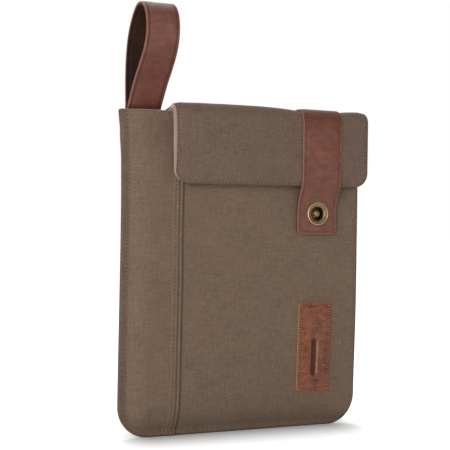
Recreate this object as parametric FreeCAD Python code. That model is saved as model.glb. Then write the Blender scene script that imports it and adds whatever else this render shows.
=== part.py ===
import FreeCAD, Part
import math
import os

# Padded canvas sleeve for a ten-inch tablet, with a folding flap, a leather snap strap and a
# leather wrist loop.  Millimetres.  X runs across the sleeve, -Y is its front and +Z its mouth.
# The origin is the middle of the bottom edge, on the face that the sleeve stands on.

# ---- body ----
BODY_WIDTH = 214.0
BODY_HEIGHT = 262.0
CORNER_RADIUS = 24.0
FLANGE_WIDTH = 7.0
FLANGE_FRONT = -2.5
FLANGE_BACK = 2.5
SPLIT_Y = -0.5
BULGE_DEPTH = 10.5
BULGE_FILLET = 9.0
MOUTH_TAPER = 3.0
MOUTH_TAPER_HEIGHT = 24.0

# ---- layers of the walls ----
CANVAS = 1.2
LINING_DEPTH = 5.8
LINING = 0.5
LINING_INSET = 9.0
LINING_FILLET = 4.0
FACING_HEIGHT = 22.0
FACING_CAP = 1.0

# ---- seams and stitching ----
SEAM_X = -58.5
SEAM_LAP = 5.5
SEAM_RISE = 0.8
SEAM_STITCH_INSET = 4.0
THREAD_WIDTH = 0.8
THREAD_RISE = 0.35
PERIMETER_STITCH_INSET = 4.75
EDGE_STITCH_INSET = 2.5
MOUTH_STITCH_DROP = 2.0

# ---- flap ----
FLAP_X0 = -67.5
FLAP_X1 = 106.5
FLAP_BOTTOM = 204.0
FLAP_FRONT = -20.7
FLAP_INNER = -14.5
FLAP_CORNER = 12.0
FLAP_FOLD_RADIUS = 10.7
FLAP_APEX_CORNER_Z = 270.5
FLAP_BACK_CORNER_Z = 265.5
FLAP_BACK_RADIUS = 2.9
FLAP_LINING = 0.8
FLAP_EDGE = 1.5
FLAP_INNER_Z = 262.4
FLAP_BACK = 13.1
FLAP_BACK_BOTTOM = 214.0
FOLD_GAP = 0.3

# ---- leather strap, tab and snap ----
LEATHER = 1.6
STRAP_X0 = 43.8
STRAP_X1 = 79.8
STRAP_BACK_BOTTOM = 226.0
TAB_BOTTOM = 163.7
TAB_FACE = -14.6
TAB_CORNER = 4.5
TAB_BEND_TOP = 201.6
TAB_BEND_BOTTOM = 194.0
SNAP_X = 61.8
SNAP_Z = 181.2
RING_RADIUS = 9.7
RING_RISE = 2.0
RING_RECESS_RADIUS = 5.4
SNAP_BORE_RADIUS = 5.0
BARREL_RADIUS = 5.8
SOCKET_RADIUS = 7.5
SPRING_RADIUS = 6.3
SPRING_WIRE_RADIUS = 0.4
SPRING_ARC = 300.0
STUD_FLANGE_RADIUS = 6.0
STUD_FLANGE = 0.6
STUD_NECK_RADIUS = 2.2
STUD_HEAD_RADIUS = 2.9
STUD_TIP = -15.6
POST_RADIUS = 1.5
POST_FLANGE_RADIUS = 5.0
POST_FLANGE = 0.8
REINFORCEMENT_RADIUS = 11.0
REINFORCEMENT = 1.0

# ---- patch ----
PATCH_X = 61.2
PATCH_Z = 68.7
PATCH_WIDTH = 31.0
PATCH_HEIGHT = 75.0
PATCH_THICKNESS = 1.5
PATCH_CORNER = 3.0
PATCH_TILT = 1.0
BAR_WIDTH = 4.0
BAR_HEIGHT = 30.0
BAR_DROP = 8.7
BAR_DEPTH = 0.4

# ---- wrist loop ----
HANDLE_X0 = -101.0
HANDLE_X1 = -73.0
HANDLE_AXIS_Y = 7.4
HANDLE_AXIS_Z = 266.0
HANDLE_ANCHOR_DEPTH = 22.0
HANDLE_PLY = 1.6

REACH = 60.0


def vec(x, y, z):
    """A FreeCAD vector."""
    return FreeCAD.Vector(x, y, z)


def block(x0, x1, y0, y1, z0, z1):
    """A box between two opposite corners."""
    return Part.makeBox(x1 - x0, y1 - y0, z1 - z0, vec(x0, y0, z0))


def disc(radius, y0, y1, x=SNAP_X, z=SNAP_Z):
    """A round plate whose axis runs along Y, at the snap unless told otherwise."""
    return Part.makeCylinder(radius, y1 - y0, vec(x, y0, z), vec(0, 1, 0))


def rounded_slab(x0, x1, z0, z1, radius, y0, y1, round_top=False):
    """An upright plate with rounded lower corners, and rounded upper ones if asked."""
    lift = math.sqrt(0.5) * radius
    top = z1 - radius if round_top else z1
    left_mid = vec(x0 + radius - lift, y0, z0 + radius - lift)
    right_mid = vec(x1 - radius + lift, y0, z0 + radius - lift)
    edges = [
        Part.LineSegment(vec(x0, y0, top), vec(x0, y0, z0 + radius)),
        Part.Arc(vec(x0, y0, z0 + radius), left_mid, vec(x0 + radius, y0, z0)),
        Part.LineSegment(vec(x0 + radius, y0, z0), vec(x1 - radius, y0, z0)),
        Part.Arc(vec(x1 - radius, y0, z0), right_mid, vec(x1, y0, z0 + radius)),
        Part.LineSegment(vec(x1, y0, z0 + radius), vec(x1, y0, top)),
    ]
    if round_top:
        right_top = vec(x1 - radius + lift, y0, z1 - radius + lift)
        left_top = vec(x0 + radius - lift, y0, z1 - radius + lift)
        edges += [
            Part.Arc(vec(x1, y0, top), right_top, vec(x1 - radius, y0, z1)),
            Part.LineSegment(vec(x1 - radius, y0, z1), vec(x0 + radius, y0, z1)),
            Part.Arc(vec(x0 + radius, y0, z1), left_top, vec(x0, y0, top)),
        ]
    else:
        edges.append(Part.LineSegment(vec(x1, y0, z1), vec(x0, y0, z1)))
    face = Part.Face(Part.Wire([edge.toShape() for edge in edges]))
    return face.extrude(vec(0, y1 - y0, 0))


def body_slab(inset, y0, y1, top=BODY_HEIGHT):
    """The sleeve's outline, drawn in by inset at the sides and the bottom, as a plate."""
    half = BODY_WIDTH / 2 - inset
    return rounded_slab(-half, half, inset, top, CORNER_RADIUS - inset, y0, y1)


def bulge(side, inset, depth, fillet, taper=0.0):
    """One padded half: side -1 is the front and 1 the back.  taper thins it at the mouth."""
    y0 = min(SPLIT_Y, side * depth)
    y1 = max(SPLIT_Y, side * depth)
    slab = body_slab(inset, y0, y1)
    rim = [
        edge
        for edge in slab.Edges
        if abs(edge.CenterOfMass.y - side * depth) < 1e-6
        and edge.BoundBox.ZMin < BODY_HEIGHT - 1
    ]
    slab = slab.makeFillet(fillet, rim)
    if taper:
        wedge = section(
            [
                (side * (depth + 1), BODY_HEIGHT - MOUTH_TAPER_HEIGHT),
                (side * depth, BODY_HEIGHT - MOUTH_TAPER_HEIGHT),
                (side * (depth - taper), BODY_HEIGHT),
                (side * (depth + 1), BODY_HEIGHT),
            ],
            -BODY_WIDTH,
            BODY_WIDTH,
        )
        slab = slab.cut(wedge)
    return slab


def section(points, x0, x1):
    """A closed polygon in the YZ plane, run along X."""
    corners = [vec(x0, y, z) for y, z in points]
    face = Part.Face(Part.makePolygon(corners + corners[:1]))
    return face.extrude(vec(x1 - x0, 0, 0))


def unit(a, b):
    """The direction from point a to point b in the YZ plane."""
    length = math.hypot(b[0] - a[0], b[1] - a[1])
    return ((b[0] - a[0]) / length, (b[1] - a[1]) / length)


def offset_path(points, distance):
    """A polyline moved sideways, to its left for a positive distance."""
    moved = []
    directions = [unit(a, b) for a, b in zip(points, points[1:])]
    for i, (y, z) in enumerate(points):
        before = directions[max(i - 1, 0)]
        after = directions[min(i, len(directions) - 1)]
        ny = -(before[1] + after[1]) / 2
        nz = (before[0] + after[0]) / 2
        scale = distance / (ny * ny + nz * nz)
        moved.append((y + ny * scale, z + nz * scale))
    return moved


def path_edges(points, radii, x):
    """Straight runs joined by tangent arcs.  radii has one value for each inner point."""
    edges = []
    start = points[0]
    for i, radius in enumerate(radii, start=1):
        into = unit(points[i - 1], points[i])
        out = unit(points[i], points[i + 1])
        turn = math.acos(max(-1.0, min(1.0, into[0] * out[0] + into[1] * out[1])))
        setback = radius * math.tan(turn / 2)
        first = (points[i][0] - into[0] * setback, points[i][1] - into[1] * setback)
        last = (points[i][0] + out[0] * setback, points[i][1] + out[1] * setback)
        inward = unit((0, 0), (out[0] - into[0], out[1] - into[1]))
        bow = radius / math.cos(turn / 2) - radius
        middle = (points[i][0] + inward[0] * bow, points[i][1] + inward[1] * bow)
        edges.append(Part.makeLine(vec(x, *start), vec(x, *first)))
        edges.append(Part.Arc(vec(x, *first), vec(x, *middle), vec(x, *last)).toShape())
        start = last
    edges.append(Part.makeLine(vec(x, *start), vec(x, *points[-1])))
    return edges


def turn_signs(points):
    """For each inner point, 1 where the path turns left and -1 where it turns right."""
    signs = []
    for a, b, c in zip(points, points[1:], points[2:]):
        cross = (b[0] - a[0]) * (c[1] - b[1]) - (b[1] - a[1]) * (c[0] - b[0])
        signs.append(1 if cross > 0 else -1)
    return signs


def shifted_radii(points, radii, distance):
    """The radii that a path has once it is moved sideways by distance."""
    return [
        max(radius - sign * distance, 0.05)
        for radius, sign in zip(radii, turn_signs(points))
    ]


def between(path_a, radii_a, path_b, radii_b, x0, x1):
    """The solid between two rounded paths in the YZ plane, run along X."""
    first = path_edges(path_a, radii_a, x0)
    second = path_edges(path_b, radii_b, x0)
    ends = [
        Part.makeLine(vec(x0, *path_a[0]), vec(x0, *path_b[0])),
        Part.makeLine(vec(x0, *path_a[-1]), vec(x0, *path_b[-1])),
    ]
    wire = Part.Wire(Part.__sortEdges__(first + second + ends))
    return Part.Face(wire).extrude(vec(x1 - x0, 0, 0))


def ribbon(points, radii, left, right, x0, x1):
    """A strip along a rounded path, from right to left of it, run along X."""
    return between(
        offset_path(points, left),
        shifted_radii(points, radii, left),
        offset_path(points, right),
        shifted_radii(points, radii, right),
        x0,
        x1,
    )


def join(shapes):
    """One solid from shapes that touch."""
    whole = shapes[0]
    for shape in shapes[1:]:
        whole = whole.fuse(shape)
    return whole.removeSplitter()


def group(shapes):
    """Separate solids kept together in one node."""
    return Part.makeCompound([solid for shape in shapes for solid in shape.Solids])


def stitch_frame(x0, x1, z0, z1, radius, inset, y0, y1):
    """A U-shaped run of stitching, inset from the sides and the bottom of a panel."""
    near = inset - THREAD_WIDTH / 2
    far = inset + THREAD_WIDTH / 2
    outer = rounded_slab(x0 + near, x1 - near, z0 + near, z1, radius - near, y0, y1)
    inner = rounded_slab(x0 + far, x1 - far, z0 + far, z1 + 1, radius - far, y0, y1)
    return outer.cut(inner)


# ---- sleeve body ----

def wall_layers(side, taper):
    """The nested solids of one half: canvas outside, canvas inside, lining, pocket."""
    inner_depth = BULGE_DEPTH - CANVAS
    outer = bulge(side, FLANGE_WIDTH, BULGE_DEPTH, BULGE_FILLET, taper)
    inner = bulge(side, FLANGE_WIDTH + CANVAS, inner_depth, BULGE_FILLET - CANVAS, taper)
    lining = bulge(side, LINING_INSET, LINING_DEPTH, LINING_FILLET)
    pocket = bulge(
        side, LINING_INSET + LINING, LINING_DEPTH - LINING, LINING_FILLET - LINING
    )
    return outer, inner, lining, pocket


def padding(side, inner):
    """The foam sheet between the canvas and the lining."""
    face = side * LINING_DEPTH
    y0 = min(face, side * REACH)
    y1 = max(face, side * REACH)
    return inner.common(
        block(-REACH * 2, REACH * 2, y0, y1, 0, BODY_HEIGHT - FACING_CAP)
    )


def below(shape, z):
    """The part of a shape that is lower than z."""
    return shape.common(block(-BODY_WIDTH, BODY_WIDTH, -REACH, REACH, -1, z))


def above(shape, z):
    """The part of a shape that is higher than z."""
    return shape.common(block(-BODY_WIDTH, BODY_WIDTH, -REACH, REACH, z, 400))


def build_front():
    """Front wall: two canvas panels lapped at the seam, padding, lining and facing."""
    outer, inner, lining, pocket = wall_layers(-1, MOUTH_TAPER)
    flange = body_slab(0, FLANGE_FRONT, SPLIT_Y)
    canvas = join([flange, outer]).cut(inner).cut(disc(POST_RADIUS, -REACH, 0))
    seam_side = block(-BODY_WIDTH, SEAM_X, -REACH, REACH, -1, BODY_HEIGHT + 1)
    raised = bulge(
        -1,
        FLANGE_WIDTH - SEAM_RISE,
        BULGE_DEPTH + SEAM_RISE,
        BULGE_FILLET + SEAM_RISE,
        MOUTH_TAPER,
    )
    lap_zone = block(
        SEAM_X - SEAM_LAP, SEAM_X, -REACH, FLANGE_FRONT, 0, BODY_HEIGHT
    )
    lap = raised.cut(outer).common(lap_zone)
    side_panel = join([canvas.common(seam_side), lap])
    main_panel = canvas.cut(seam_side)
    foam = padding(-1, inner)
    foam = foam.cut(disc(REINFORCEMENT_RADIUS, -REACH, reinforcement_back()))
    foam = foam.cut(disc(POST_FLANGE_RADIUS, -REACH, reinforcement_back() + POST_FLANGE))
    lining_top = BODY_HEIGHT - FACING_HEIGHT
    facing_leg = above(lining.cut(pocket), lining_top)
    facing_cap = above(inner.cut(pocket), BODY_HEIGHT - FACING_CAP)
    seam_line = block(
        SEAM_X - SEAM_STITCH_INSET - THREAD_WIDTH / 2,
        SEAM_X - SEAM_STITCH_INSET + THREAD_WIDTH / 2,
        -REACH,
        0,
        FLANGE_WIDTH + BULGE_FILLET,
        BODY_HEIGHT - MOUTH_TAPER_HEIGHT,
    )
    seam_thread = raised.translated(vec(0, -THREAD_RISE, 0)).cut(raised)
    seam_thread = seam_thread.common(seam_line)
    return {
        "front_side_panel": side_panel,
        "front_main_panel": main_panel,
        "front_padding": foam,
        "front_lining": below(lining.cut(pocket), lining_top),
        "front_mouth_facing": join([facing_leg, facing_cap]),
        "seam_thread": seam_thread,
    }


def reinforcement_back():
    """The inner face of the snap's reinforcement, where the post's flange sits."""
    return -(BULGE_DEPTH - CANVAS) + REINFORCEMENT


def handle_anchor(inner):
    """The sewn ends of the wrist loop, held in the back wall beside the lining."""
    tab = block(
        HANDLE_X0,
        HANDLE_X1,
        LINING_DEPTH,
        LINING_DEPTH + 2 * HANDLE_PLY,
        BODY_HEIGHT - HANDLE_ANCHOR_DEPTH,
        BODY_HEIGHT,
    )
    return tab.common(inner)


def build_back():
    """Back wall: one canvas panel, padding, lining, facing and the loop's anchor."""
    outer, inner, lining, pocket = wall_layers(1, 0.0)
    flange = body_slab(0, SPLIT_Y, FLANGE_BACK)
    anchor = handle_anchor(inner)
    lining_top = BODY_HEIGHT - FACING_HEIGHT
    facing_leg = above(lining.cut(pocket), lining_top)
    facing_cap = above(inner.cut(pocket), BODY_HEIGHT - FACING_CAP)
    return {
        "back_panel": join([flange, outer]).cut(inner),
        "back_padding": padding(1, inner).cut(anchor),
        "back_lining": below(lining.cut(pocket), lining_top),
        "back_mouth_facing": join([facing_leg, facing_cap]).cut(anchor),
        "handle_anchor": anchor,
    }


def mouth_row(side, taper):
    """The stitch row just below the mouth on one outer face, broken at the seam's lap."""
    outer = bulge(side, FLANGE_WIDTH, BULGE_DEPTH, BULGE_FILLET, taper)
    proud = outer.translated(vec(0, side * THREAD_RISE, 0)).cut(outer)
    half = BODY_WIDTH / 2 - FLANGE_WIDTH - BULGE_FILLET
    z0 = BODY_HEIGHT - MOUTH_STITCH_DROP - THREAD_WIDTH / 2
    z1 = z0 + THREAD_WIDTH
    return group(
        [
            proud.common(block(x0, x1, -REACH, REACH, z0, z1))
            for x0, x1 in ((-half, SEAM_X - SEAM_LAP), (SEAM_X, half))
        ]
    )


def build_body_threads():
    """Topstitching round the flange and below the mouth."""
    half = BODY_WIDTH / 2
    rows = []
    for y0, y1 in (
        (FLANGE_FRONT - THREAD_RISE, FLANGE_FRONT),
        (FLANGE_BACK, FLANGE_BACK + THREAD_RISE),
    ):
        rows.append(
            stitch_frame(
                -half,
                half,
                0,
                BODY_HEIGHT,
                CORNER_RADIUS,
                PERIMETER_STITCH_INSET,
                y0,
                y1,
            )
        )
    return {
        "perimeter_thread": group(rows),
        "front_mouth_thread": mouth_row(-1, MOUTH_TAPER),
    }


def build_patch():
    """Leather patch with a plain pressed bar, and the thread round it."""
    face = -BULGE_DEPTH - PATCH_THICKNESS
    x0 = PATCH_X - PATCH_WIDTH / 2
    x1 = PATCH_X + PATCH_WIDTH / 2
    z0 = PATCH_Z - PATCH_HEIGHT / 2
    z1 = PATCH_Z + PATCH_HEIGHT / 2
    patch = rounded_slab(x0, x1, z0, z1, PATCH_CORNER, face, -BULGE_DEPTH, True)
    bar_z = PATCH_Z - BAR_DROP
    bar = rounded_slab(
        PATCH_X - BAR_WIDTH / 2,
        PATCH_X + BAR_WIDTH / 2,
        bar_z - BAR_HEIGHT / 2,
        bar_z + BAR_HEIGHT / 2,
        BAR_WIDTH / 2 - 0.1,
        face,
        face + BAR_DEPTH,
        True,
    )
    near = EDGE_STITCH_INSET - THREAD_WIDTH / 2
    far = EDGE_STITCH_INSET + THREAD_WIDTH / 2
    loop = rounded_slab(
        x0 + near, x1 - near, z0 + near, z1 - near, 1.5, face - THREAD_RISE, face, True
    )
    hole = rounded_slab(
        x0 + far, x1 - far, z0 + far, z1 - far, 0.7, face - THREAD_RISE, face, True
    )
    shapes = {"leather_patch": patch.cut(bar), "patch_thread": loop.cut(hole)}
    for shape in shapes.values():
        shape.rotate(vec(PATCH_X, 0, PATCH_Z), vec(0, 1, 0), PATCH_TILT)
    return shapes


# ---- flap ----

def flap_outer_path():
    """The flap's outer face in the YZ plane, from its front hem over the top to its back hem."""
    points = [
        (FLAP_FRONT, FLAP_BOTTOM),
        (FLAP_FRONT, FLAP_APEX_CORNER_Z),
        (FLAP_BACK, FLAP_BACK_CORNER_Z),
        (FLAP_BACK, FLAP_BACK_BOTTOM),
    ]
    return points, [FLAP_FOLD_RADIUS, FLAP_BACK_RADIUS]


def flap_inner_path():
    """The flap's inner face in the YZ plane, in the same order as the outer one."""
    points = [
        (FLAP_INNER, FLAP_BOTTOM),
        (FLAP_INNER, FLAP_INNER_Z + 0.5),
        (BULGE_DEPTH, FLAP_INNER_Z),
        (BULGE_DEPTH, FLAP_BACK_BOTTOM),
    ]
    return points, [FLAP_FOLD_RADIUS - (FLAP_INNER - FLAP_FRONT), 0.05]


def fold_centres():
    """Centres of the front fold and the back fold in the YZ plane."""
    slope = (FLAP_BACK_CORNER_Z - FLAP_APEX_CORNER_Z) / (FLAP_BACK - FLAP_FRONT)
    tilt = math.cos(math.atan(slope))
    front_y = FLAP_FRONT + FLAP_FOLD_RADIUS
    front_z = FLAP_APEX_CORNER_Z + slope * FLAP_FOLD_RADIUS - FLAP_FOLD_RADIUS / tilt
    back_y = FLAP_BACK - FLAP_BACK_RADIUS
    back_z = FLAP_BACK_CORNER_Z - slope * FLAP_BACK_RADIUS - FLAP_BACK_RADIUS / tilt
    return (front_y, front_z), (back_y, back_z)


def fold_axes():
    """Hinge lines of the two folds, just outside the strap so that leather never binds."""
    (front_y, front_z), (back_y, back_z) = fold_centres()
    clear = LEATHER + THREAD_RISE + 0.05
    front_reach = (FLAP_FOLD_RADIUS + clear) * math.sqrt(0.5)
    back_reach = (FLAP_BACK_RADIUS + clear) * math.sqrt(0.5)
    return (
        (front_y - front_reach, front_z + front_reach),
        (back_y + back_reach, back_z + back_reach),
    )


def flap_zones():
    """The spaces of the flap's front leg and back leg, cut off at mid-fold."""
    (front_y, front_z), (back_y, back_z) = fold_centres()
    gap = FOLD_GAP / math.sqrt(2)
    front = section(
        [
            (front_y - REACH, front_z + REACH - gap),
            (front_y, front_z - gap),
            (front_y, 150),
            (front_y - REACH, 150),
        ],
        -BODY_WIDTH,
        BODY_WIDTH,
    )
    back = section(
        [
            (back_y + REACH, back_z + REACH - gap),
            (back_y - 2, back_z - 2 - gap),
            (back_y - 2, 150),
            (back_y + REACH, 150),
        ],
        -BODY_WIDTH,
        BODY_WIDTH,
    )
    return front, back


def split_flap(shape):
    """A shape of the flap as its front, top and back parts, with a gap at each fold."""
    front_zone, back_zone = flap_zones()
    gap = FOLD_GAP * math.sqrt(2)
    keep_off = front_zone.translated(vec(0, 0, gap))
    keep_off_back = back_zone.translated(vec(0, 0, gap))
    top = shape.cut(keep_off).cut(keep_off_back)
    return shape.common(front_zone), top, shape.common(back_zone)


def build_flap():
    """The folded canvas flap with its padding and lining, in parts that meet at the folds."""
    outer_path, outer_radii = flap_outer_path()
    inner_path, inner_radii = flap_inner_path()
    hem = rounded_slab(
        FLAP_X0, FLAP_X1, FLAP_BOTTOM, 300, FLAP_CORNER, -REACH, FLAP_INNER + 1
    )
    hem = hem.fuse(block(FLAP_X0, FLAP_X1, FLAP_INNER + 1, REACH, 200, 300))
    whole = between(outer_path, outer_radii, inner_path, inner_radii, FLAP_X0, FLAP_X1)
    whole = whole.common(hem)
    core_path = offset_path(outer_path, -CANVAS)
    core_radii = shifted_radii(outer_path, outer_radii, -CANVAS)
    skin_path = offset_path(inner_path, FLAP_LINING)
    skin_radii = shifted_radii(inner_path, inner_radii, FLAP_LINING)
    x0 = FLAP_X0 + FLAP_EDGE
    x1 = FLAP_X1 - FLAP_EDGE
    inner_hem = rounded_slab(
        x0,
        x1,
        FLAP_BOTTOM + FLAP_EDGE,
        300,
        FLAP_CORNER - FLAP_EDGE,
        -REACH,
        BULGE_DEPTH - 1,
    )
    foam = between(core_path, core_radii, skin_path, skin_radii, x0, x1)
    foam = foam.common(inner_hem)
    lining = between(skin_path, skin_radii, inner_path, inner_radii, x0, x1)
    lining = lining.common(inner_hem)
    canvas_front, canvas_top, back_leg = split_flap(whole)
    foam_front, foam_top, _ = split_flap(foam)
    lining_front, lining_top, _ = split_flap(lining)
    canvas_front = canvas_front.cut(foam).cut(lining)
    canvas_top = canvas_top.cut(foam).cut(lining)
    flap_row = stitch_frame(
        FLAP_X0,
        FLAP_X1,
        FLAP_BOTTOM,
        BODY_HEIGHT - 6,
        FLAP_CORNER,
        EDGE_STITCH_INSET,
        FLAP_FRONT - THREAD_RISE,
        FLAP_FRONT,
    )
    strap_zone = block(STRAP_X0, STRAP_X1, -REACH, REACH, 0, 300)
    back_row = stitch_frame(
        FLAP_X0,
        FLAP_X1,
        FLAP_BACK_BOTTOM,
        BODY_HEIGHT - 2,
        FLAP_EDGE + EDGE_STITCH_INSET,
        EDGE_STITCH_INSET,
        FLAP_BACK,
        FLAP_BACK + THREAD_RISE,
    )
    return {
        "flap_front_canvas": canvas_front,
        "flap_front_padding": foam_front,
        "flap_front_lining": lining_front,
        "flap_top_canvas": canvas_top,
        "flap_top_padding": foam_top,
        "flap_top_lining": lining_top,
        "flap_back_leg": back_leg,
        "flap_thread": group([flap_row.cut(strap_zone)]),
        "flap_anchor_thread": back_row,
    }


# ---- strap and tab ----

def strap_rows(y0, y1, z0, z1):
    """Two straight stitch rows beside the strap's edges."""
    rows = []
    for x in (STRAP_X0 + EDGE_STITCH_INSET, STRAP_X1 - EDGE_STITCH_INSET):
        rows.append(
            block(x - THREAD_WIDTH / 2, x + THREAD_WIDTH / 2, y0, y1, z0, z1)
        )
    return rows


def build_strap():
    """The leather strap sewn over the flap, in parts that meet at the folds."""
    points, radii = flap_outer_path()
    hem_gap = FOLD_GAP / 2
    points[0] = (FLAP_FRONT, FLAP_BOTTOM + hem_gap)
    points[-1] = (FLAP_BACK, STRAP_BACK_BOTTOM)
    strap = ribbon(points, radii, LEATHER, 0, STRAP_X0, STRAP_X1)
    front, top, back = split_flap(strap)
    outer = FLAP_FRONT - LEATHER
    return {
        "strap_front": front,
        "strap_top": top,
        "strap_back": back,
        "strap_thread": group(
            strap_rows(outer - THREAD_RISE, outer, FLAP_BOTTOM + 3, BODY_HEIGHT - 6)
        ),
    }


def build_tab():
    """The free end of the strap: two leather layers with a hole for the snap."""
    strap_face = FLAP_FRONT - LEATHER
    points = [
        (strap_face, FLAP_BOTTOM - FOLD_GAP / 2),
        (strap_face, TAB_BEND_TOP),
        (TAB_FACE, TAB_BEND_BOTTOM),
        (TAB_FACE, TAB_BOTTOM),
    ]
    radii = [4.0, 4.0]
    corners = rounded_slab(
        STRAP_X0, STRAP_X1, TAB_BOTTOM, FLAP_BOTTOM, TAB_CORNER, -REACH, 0
    )
    outer = ribbon(points, radii, LEATHER, 0, STRAP_X0, STRAP_X1).common(corners)
    backing = ribbon(points, radii, 2 * LEATHER, LEATHER, STRAP_X0, STRAP_X1)
    backing = backing.common(corners)
    run = stitch_frame(
        STRAP_X0,
        STRAP_X1,
        TAB_BOTTOM,
        TAB_BEND_BOTTOM - 4,
        TAB_CORNER,
        EDGE_STITCH_INSET,
        TAB_FACE - THREAD_RISE,
        TAB_FACE,
    )
    return {
        "strap_tab_outer": outer.cut(disc(BARREL_RADIUS, -REACH, 0)),
        "strap_tab_backing": backing.cut(disc(SOCKET_RADIUS, -REACH, 0)),
        "tab_thread": run,
    }


def revolve(points):
    """A solid of revolution about the snap's axis, from (radius, y) points."""
    corners = [vec(SNAP_X + radius, y, SNAP_Z) for radius, y in points]
    face = Part.Face(Part.makePolygon(corners + corners[:1]))
    return face.revolve(vec(SNAP_X, 0, SNAP_Z), vec(0, 1, 0), 360)


def build_snap():
    """Ring snap: cap, socket and spring on the tab; stud, post and backing on the sleeve."""
    back_of_outer = TAB_FACE + LEATHER
    back_of_tab = TAB_FACE + 2 * LEATHER
    ring_face = TAB_FACE - RING_RISE
    ring = revolve(
        [
            (SNAP_BORE_RADIUS, back_of_outer),
            (BARREL_RADIUS, back_of_outer),
            (BARREL_RADIUS, TAB_FACE),
            (RING_RADIUS, TAB_FACE),
            (RING_RADIUS, TAB_FACE - 0.7),
            (RING_RADIUS - 0.6, ring_face + 0.5),
            (RING_RADIUS - 1.8, ring_face),
            (RING_RECESS_RADIUS + 1.4, ring_face + 0.2),
            (RING_RECESS_RADIUS, ring_face + 1.1),
            (SNAP_BORE_RADIUS, ring_face + 1.6),
        ]
    )
    socket = disc(SOCKET_RADIUS, back_of_outer, back_of_tab)
    socket = socket.cut(disc(SNAP_BORE_RADIUS, -REACH, 0))
    groove_centre = vec(SNAP_X, (back_of_outer + back_of_tab) / 2, SNAP_Z)
    groove = Part.makeTorus(
        SPRING_RADIUS, SPRING_WIRE_RADIUS + 0.05, groove_centre, vec(0, 1, 0)
    )
    spring = Part.makeTorus(
        SPRING_RADIUS,
        SPRING_WIRE_RADIUS,
        groove_centre,
        vec(0, 1, 0),
        0,
        360,
        SPRING_ARC,
    )
    canvas_face = -BULGE_DEPTH
    stud_face = canvas_face - STUD_FLANGE
    stud = revolve(
        [
            (POST_RADIUS, canvas_face),
            (STUD_FLANGE_RADIUS, canvas_face),
            (STUD_FLANGE_RADIUS - 0.4, stud_face),
            (STUD_NECK_RADIUS, stud_face),
            (STUD_NECK_RADIUS, STUD_TIP + 2.6),
            (STUD_HEAD_RADIUS, STUD_TIP + 1.8),
            (STUD_HEAD_RADIUS, STUD_TIP + 1.0),
            (STUD_NECK_RADIUS, STUD_TIP + 0.3),
            (0.9, STUD_TIP),
            (0, STUD_TIP),
            (0, STUD_TIP + 2.6),
            (POST_RADIUS, STUD_TIP + 2.6),
        ]
    )
    seat = reinforcement_back()
    post = disc(POST_FLANGE_RADIUS, seat, seat + POST_FLANGE)
    post = join([post, disc(POST_RADIUS, STUD_TIP + 2.6, seat)])
    reinforcement = disc(REINFORCEMENT_RADIUS, seat - REINFORCEMENT, seat)
    return {
        "snap_cap_ring": ring,
        "snap_socket": socket.cut(groove),
        "snap_spring": spring,
        "snap_stud": stud,
        "snap_post": post,
        "snap_reinforcement": reinforcement.cut(disc(POST_RADIUS, -REACH, 0)),
    }


# ---- wrist loop ----

def handle_path():
    """The wrist loop's middle line, from its front root forward, up, over and down the back."""
    half = HANDLE_PLY * 1.05
    points = [
        (HANDLE_AXIS_Y - half, HANDLE_AXIS_Z - 4),
        (HANDLE_AXIS_Y - half, HANDLE_AXIS_Z + 0.5),
        (-48.5, 306.0),
        (-46.0, 341.0),
        (-13.0, 338.5),
        (9.5, 309.0),
        (HANDLE_AXIS_Y + half, HANDLE_AXIS_Z + 12),
        (HANDLE_AXIS_Y + half, HANDLE_AXIS_Z - 4),
    ]
    return points, [6.0, 16.0, 16.0, 24.0, 26.0, 30.0]


def build_handle():
    """Wrist loop: an outer and an inner leather layer, with thread along both edges."""
    points, radii = handle_path()
    round_root = Part.makeCylinder(
        2 * HANDLE_PLY,
        HANDLE_X1 - HANDLE_X0,
        vec(HANDLE_X0, HANDLE_AXIS_Y, HANDLE_AXIS_Z),
        vec(1, 0, 0),
    )
    room = round_root.fuse(
        block(HANDLE_X0, HANDLE_X1, -REACH, REACH, HANDLE_AXIS_Z, 400)
    )
    layers = {}
    for name, left, right in (
        ("handle_outer", HANDLE_PLY, 0),
        ("handle_inner", 0, -HANDLE_PLY),
    ):
        strip = ribbon(points, radii, left, right, HANDLE_X0, HANDLE_X1)
        layers[name] = strip.common(room)
    rows = []
    for x in (HANDLE_X0 + EDGE_STITCH_INSET, HANDLE_X1 - EDGE_STITCH_INSET):
        rows.append(
            ribbon(
                points,
                radii,
                HANDLE_PLY + THREAD_RISE,
                HANDLE_PLY,
                x - THREAD_WIDTH / 2,
                x + THREAD_WIDTH / 2,
            )
        )
    clear_of_root = block(
        HANDLE_X0, HANDLE_X1, -REACH, REACH, HANDLE_AXIS_Z + 6, 400
    )
    layers["handle_thread"] = group([row.common(clear_of_root) for row in rows])
    return layers


def main():
    """Writes every node, and prints the hinge lines and each node's size."""
    os.makedirs("parts", exist_ok=True)
    nodes = {}
    for build in (
        build_front,
        build_back,
        build_body_threads,
        build_patch,
        build_flap,
        build_strap,
        build_tab,
        build_snap,
        build_handle,
    ):
        nodes.update(build())
    for name, shape in nodes.items():
        shape.exportStep(os.path.join("parts", name + ".step"))
        box = shape.BoundBox
        print(
            f"{name:20s} solids {len(shape.Solids)} valid {shape.isValid()} "
            f"volume {shape.Volume:9.1f}  x {box.XMin:.1f} {box.XMax:.1f}  "
            f"y {box.YMin:.1f} {box.YMax:.1f}  z {box.ZMin:.1f} {box.ZMax:.1f}"
        )
    front_axis, back_axis = fold_axes()
    print("front fold axis y, z:", front_axis)
    print("back fold axis y, z:", back_axis)


main()
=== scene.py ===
import math

import bmesh
import bpy
import numpy as np
from mathutils import Matrix, Vector


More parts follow.
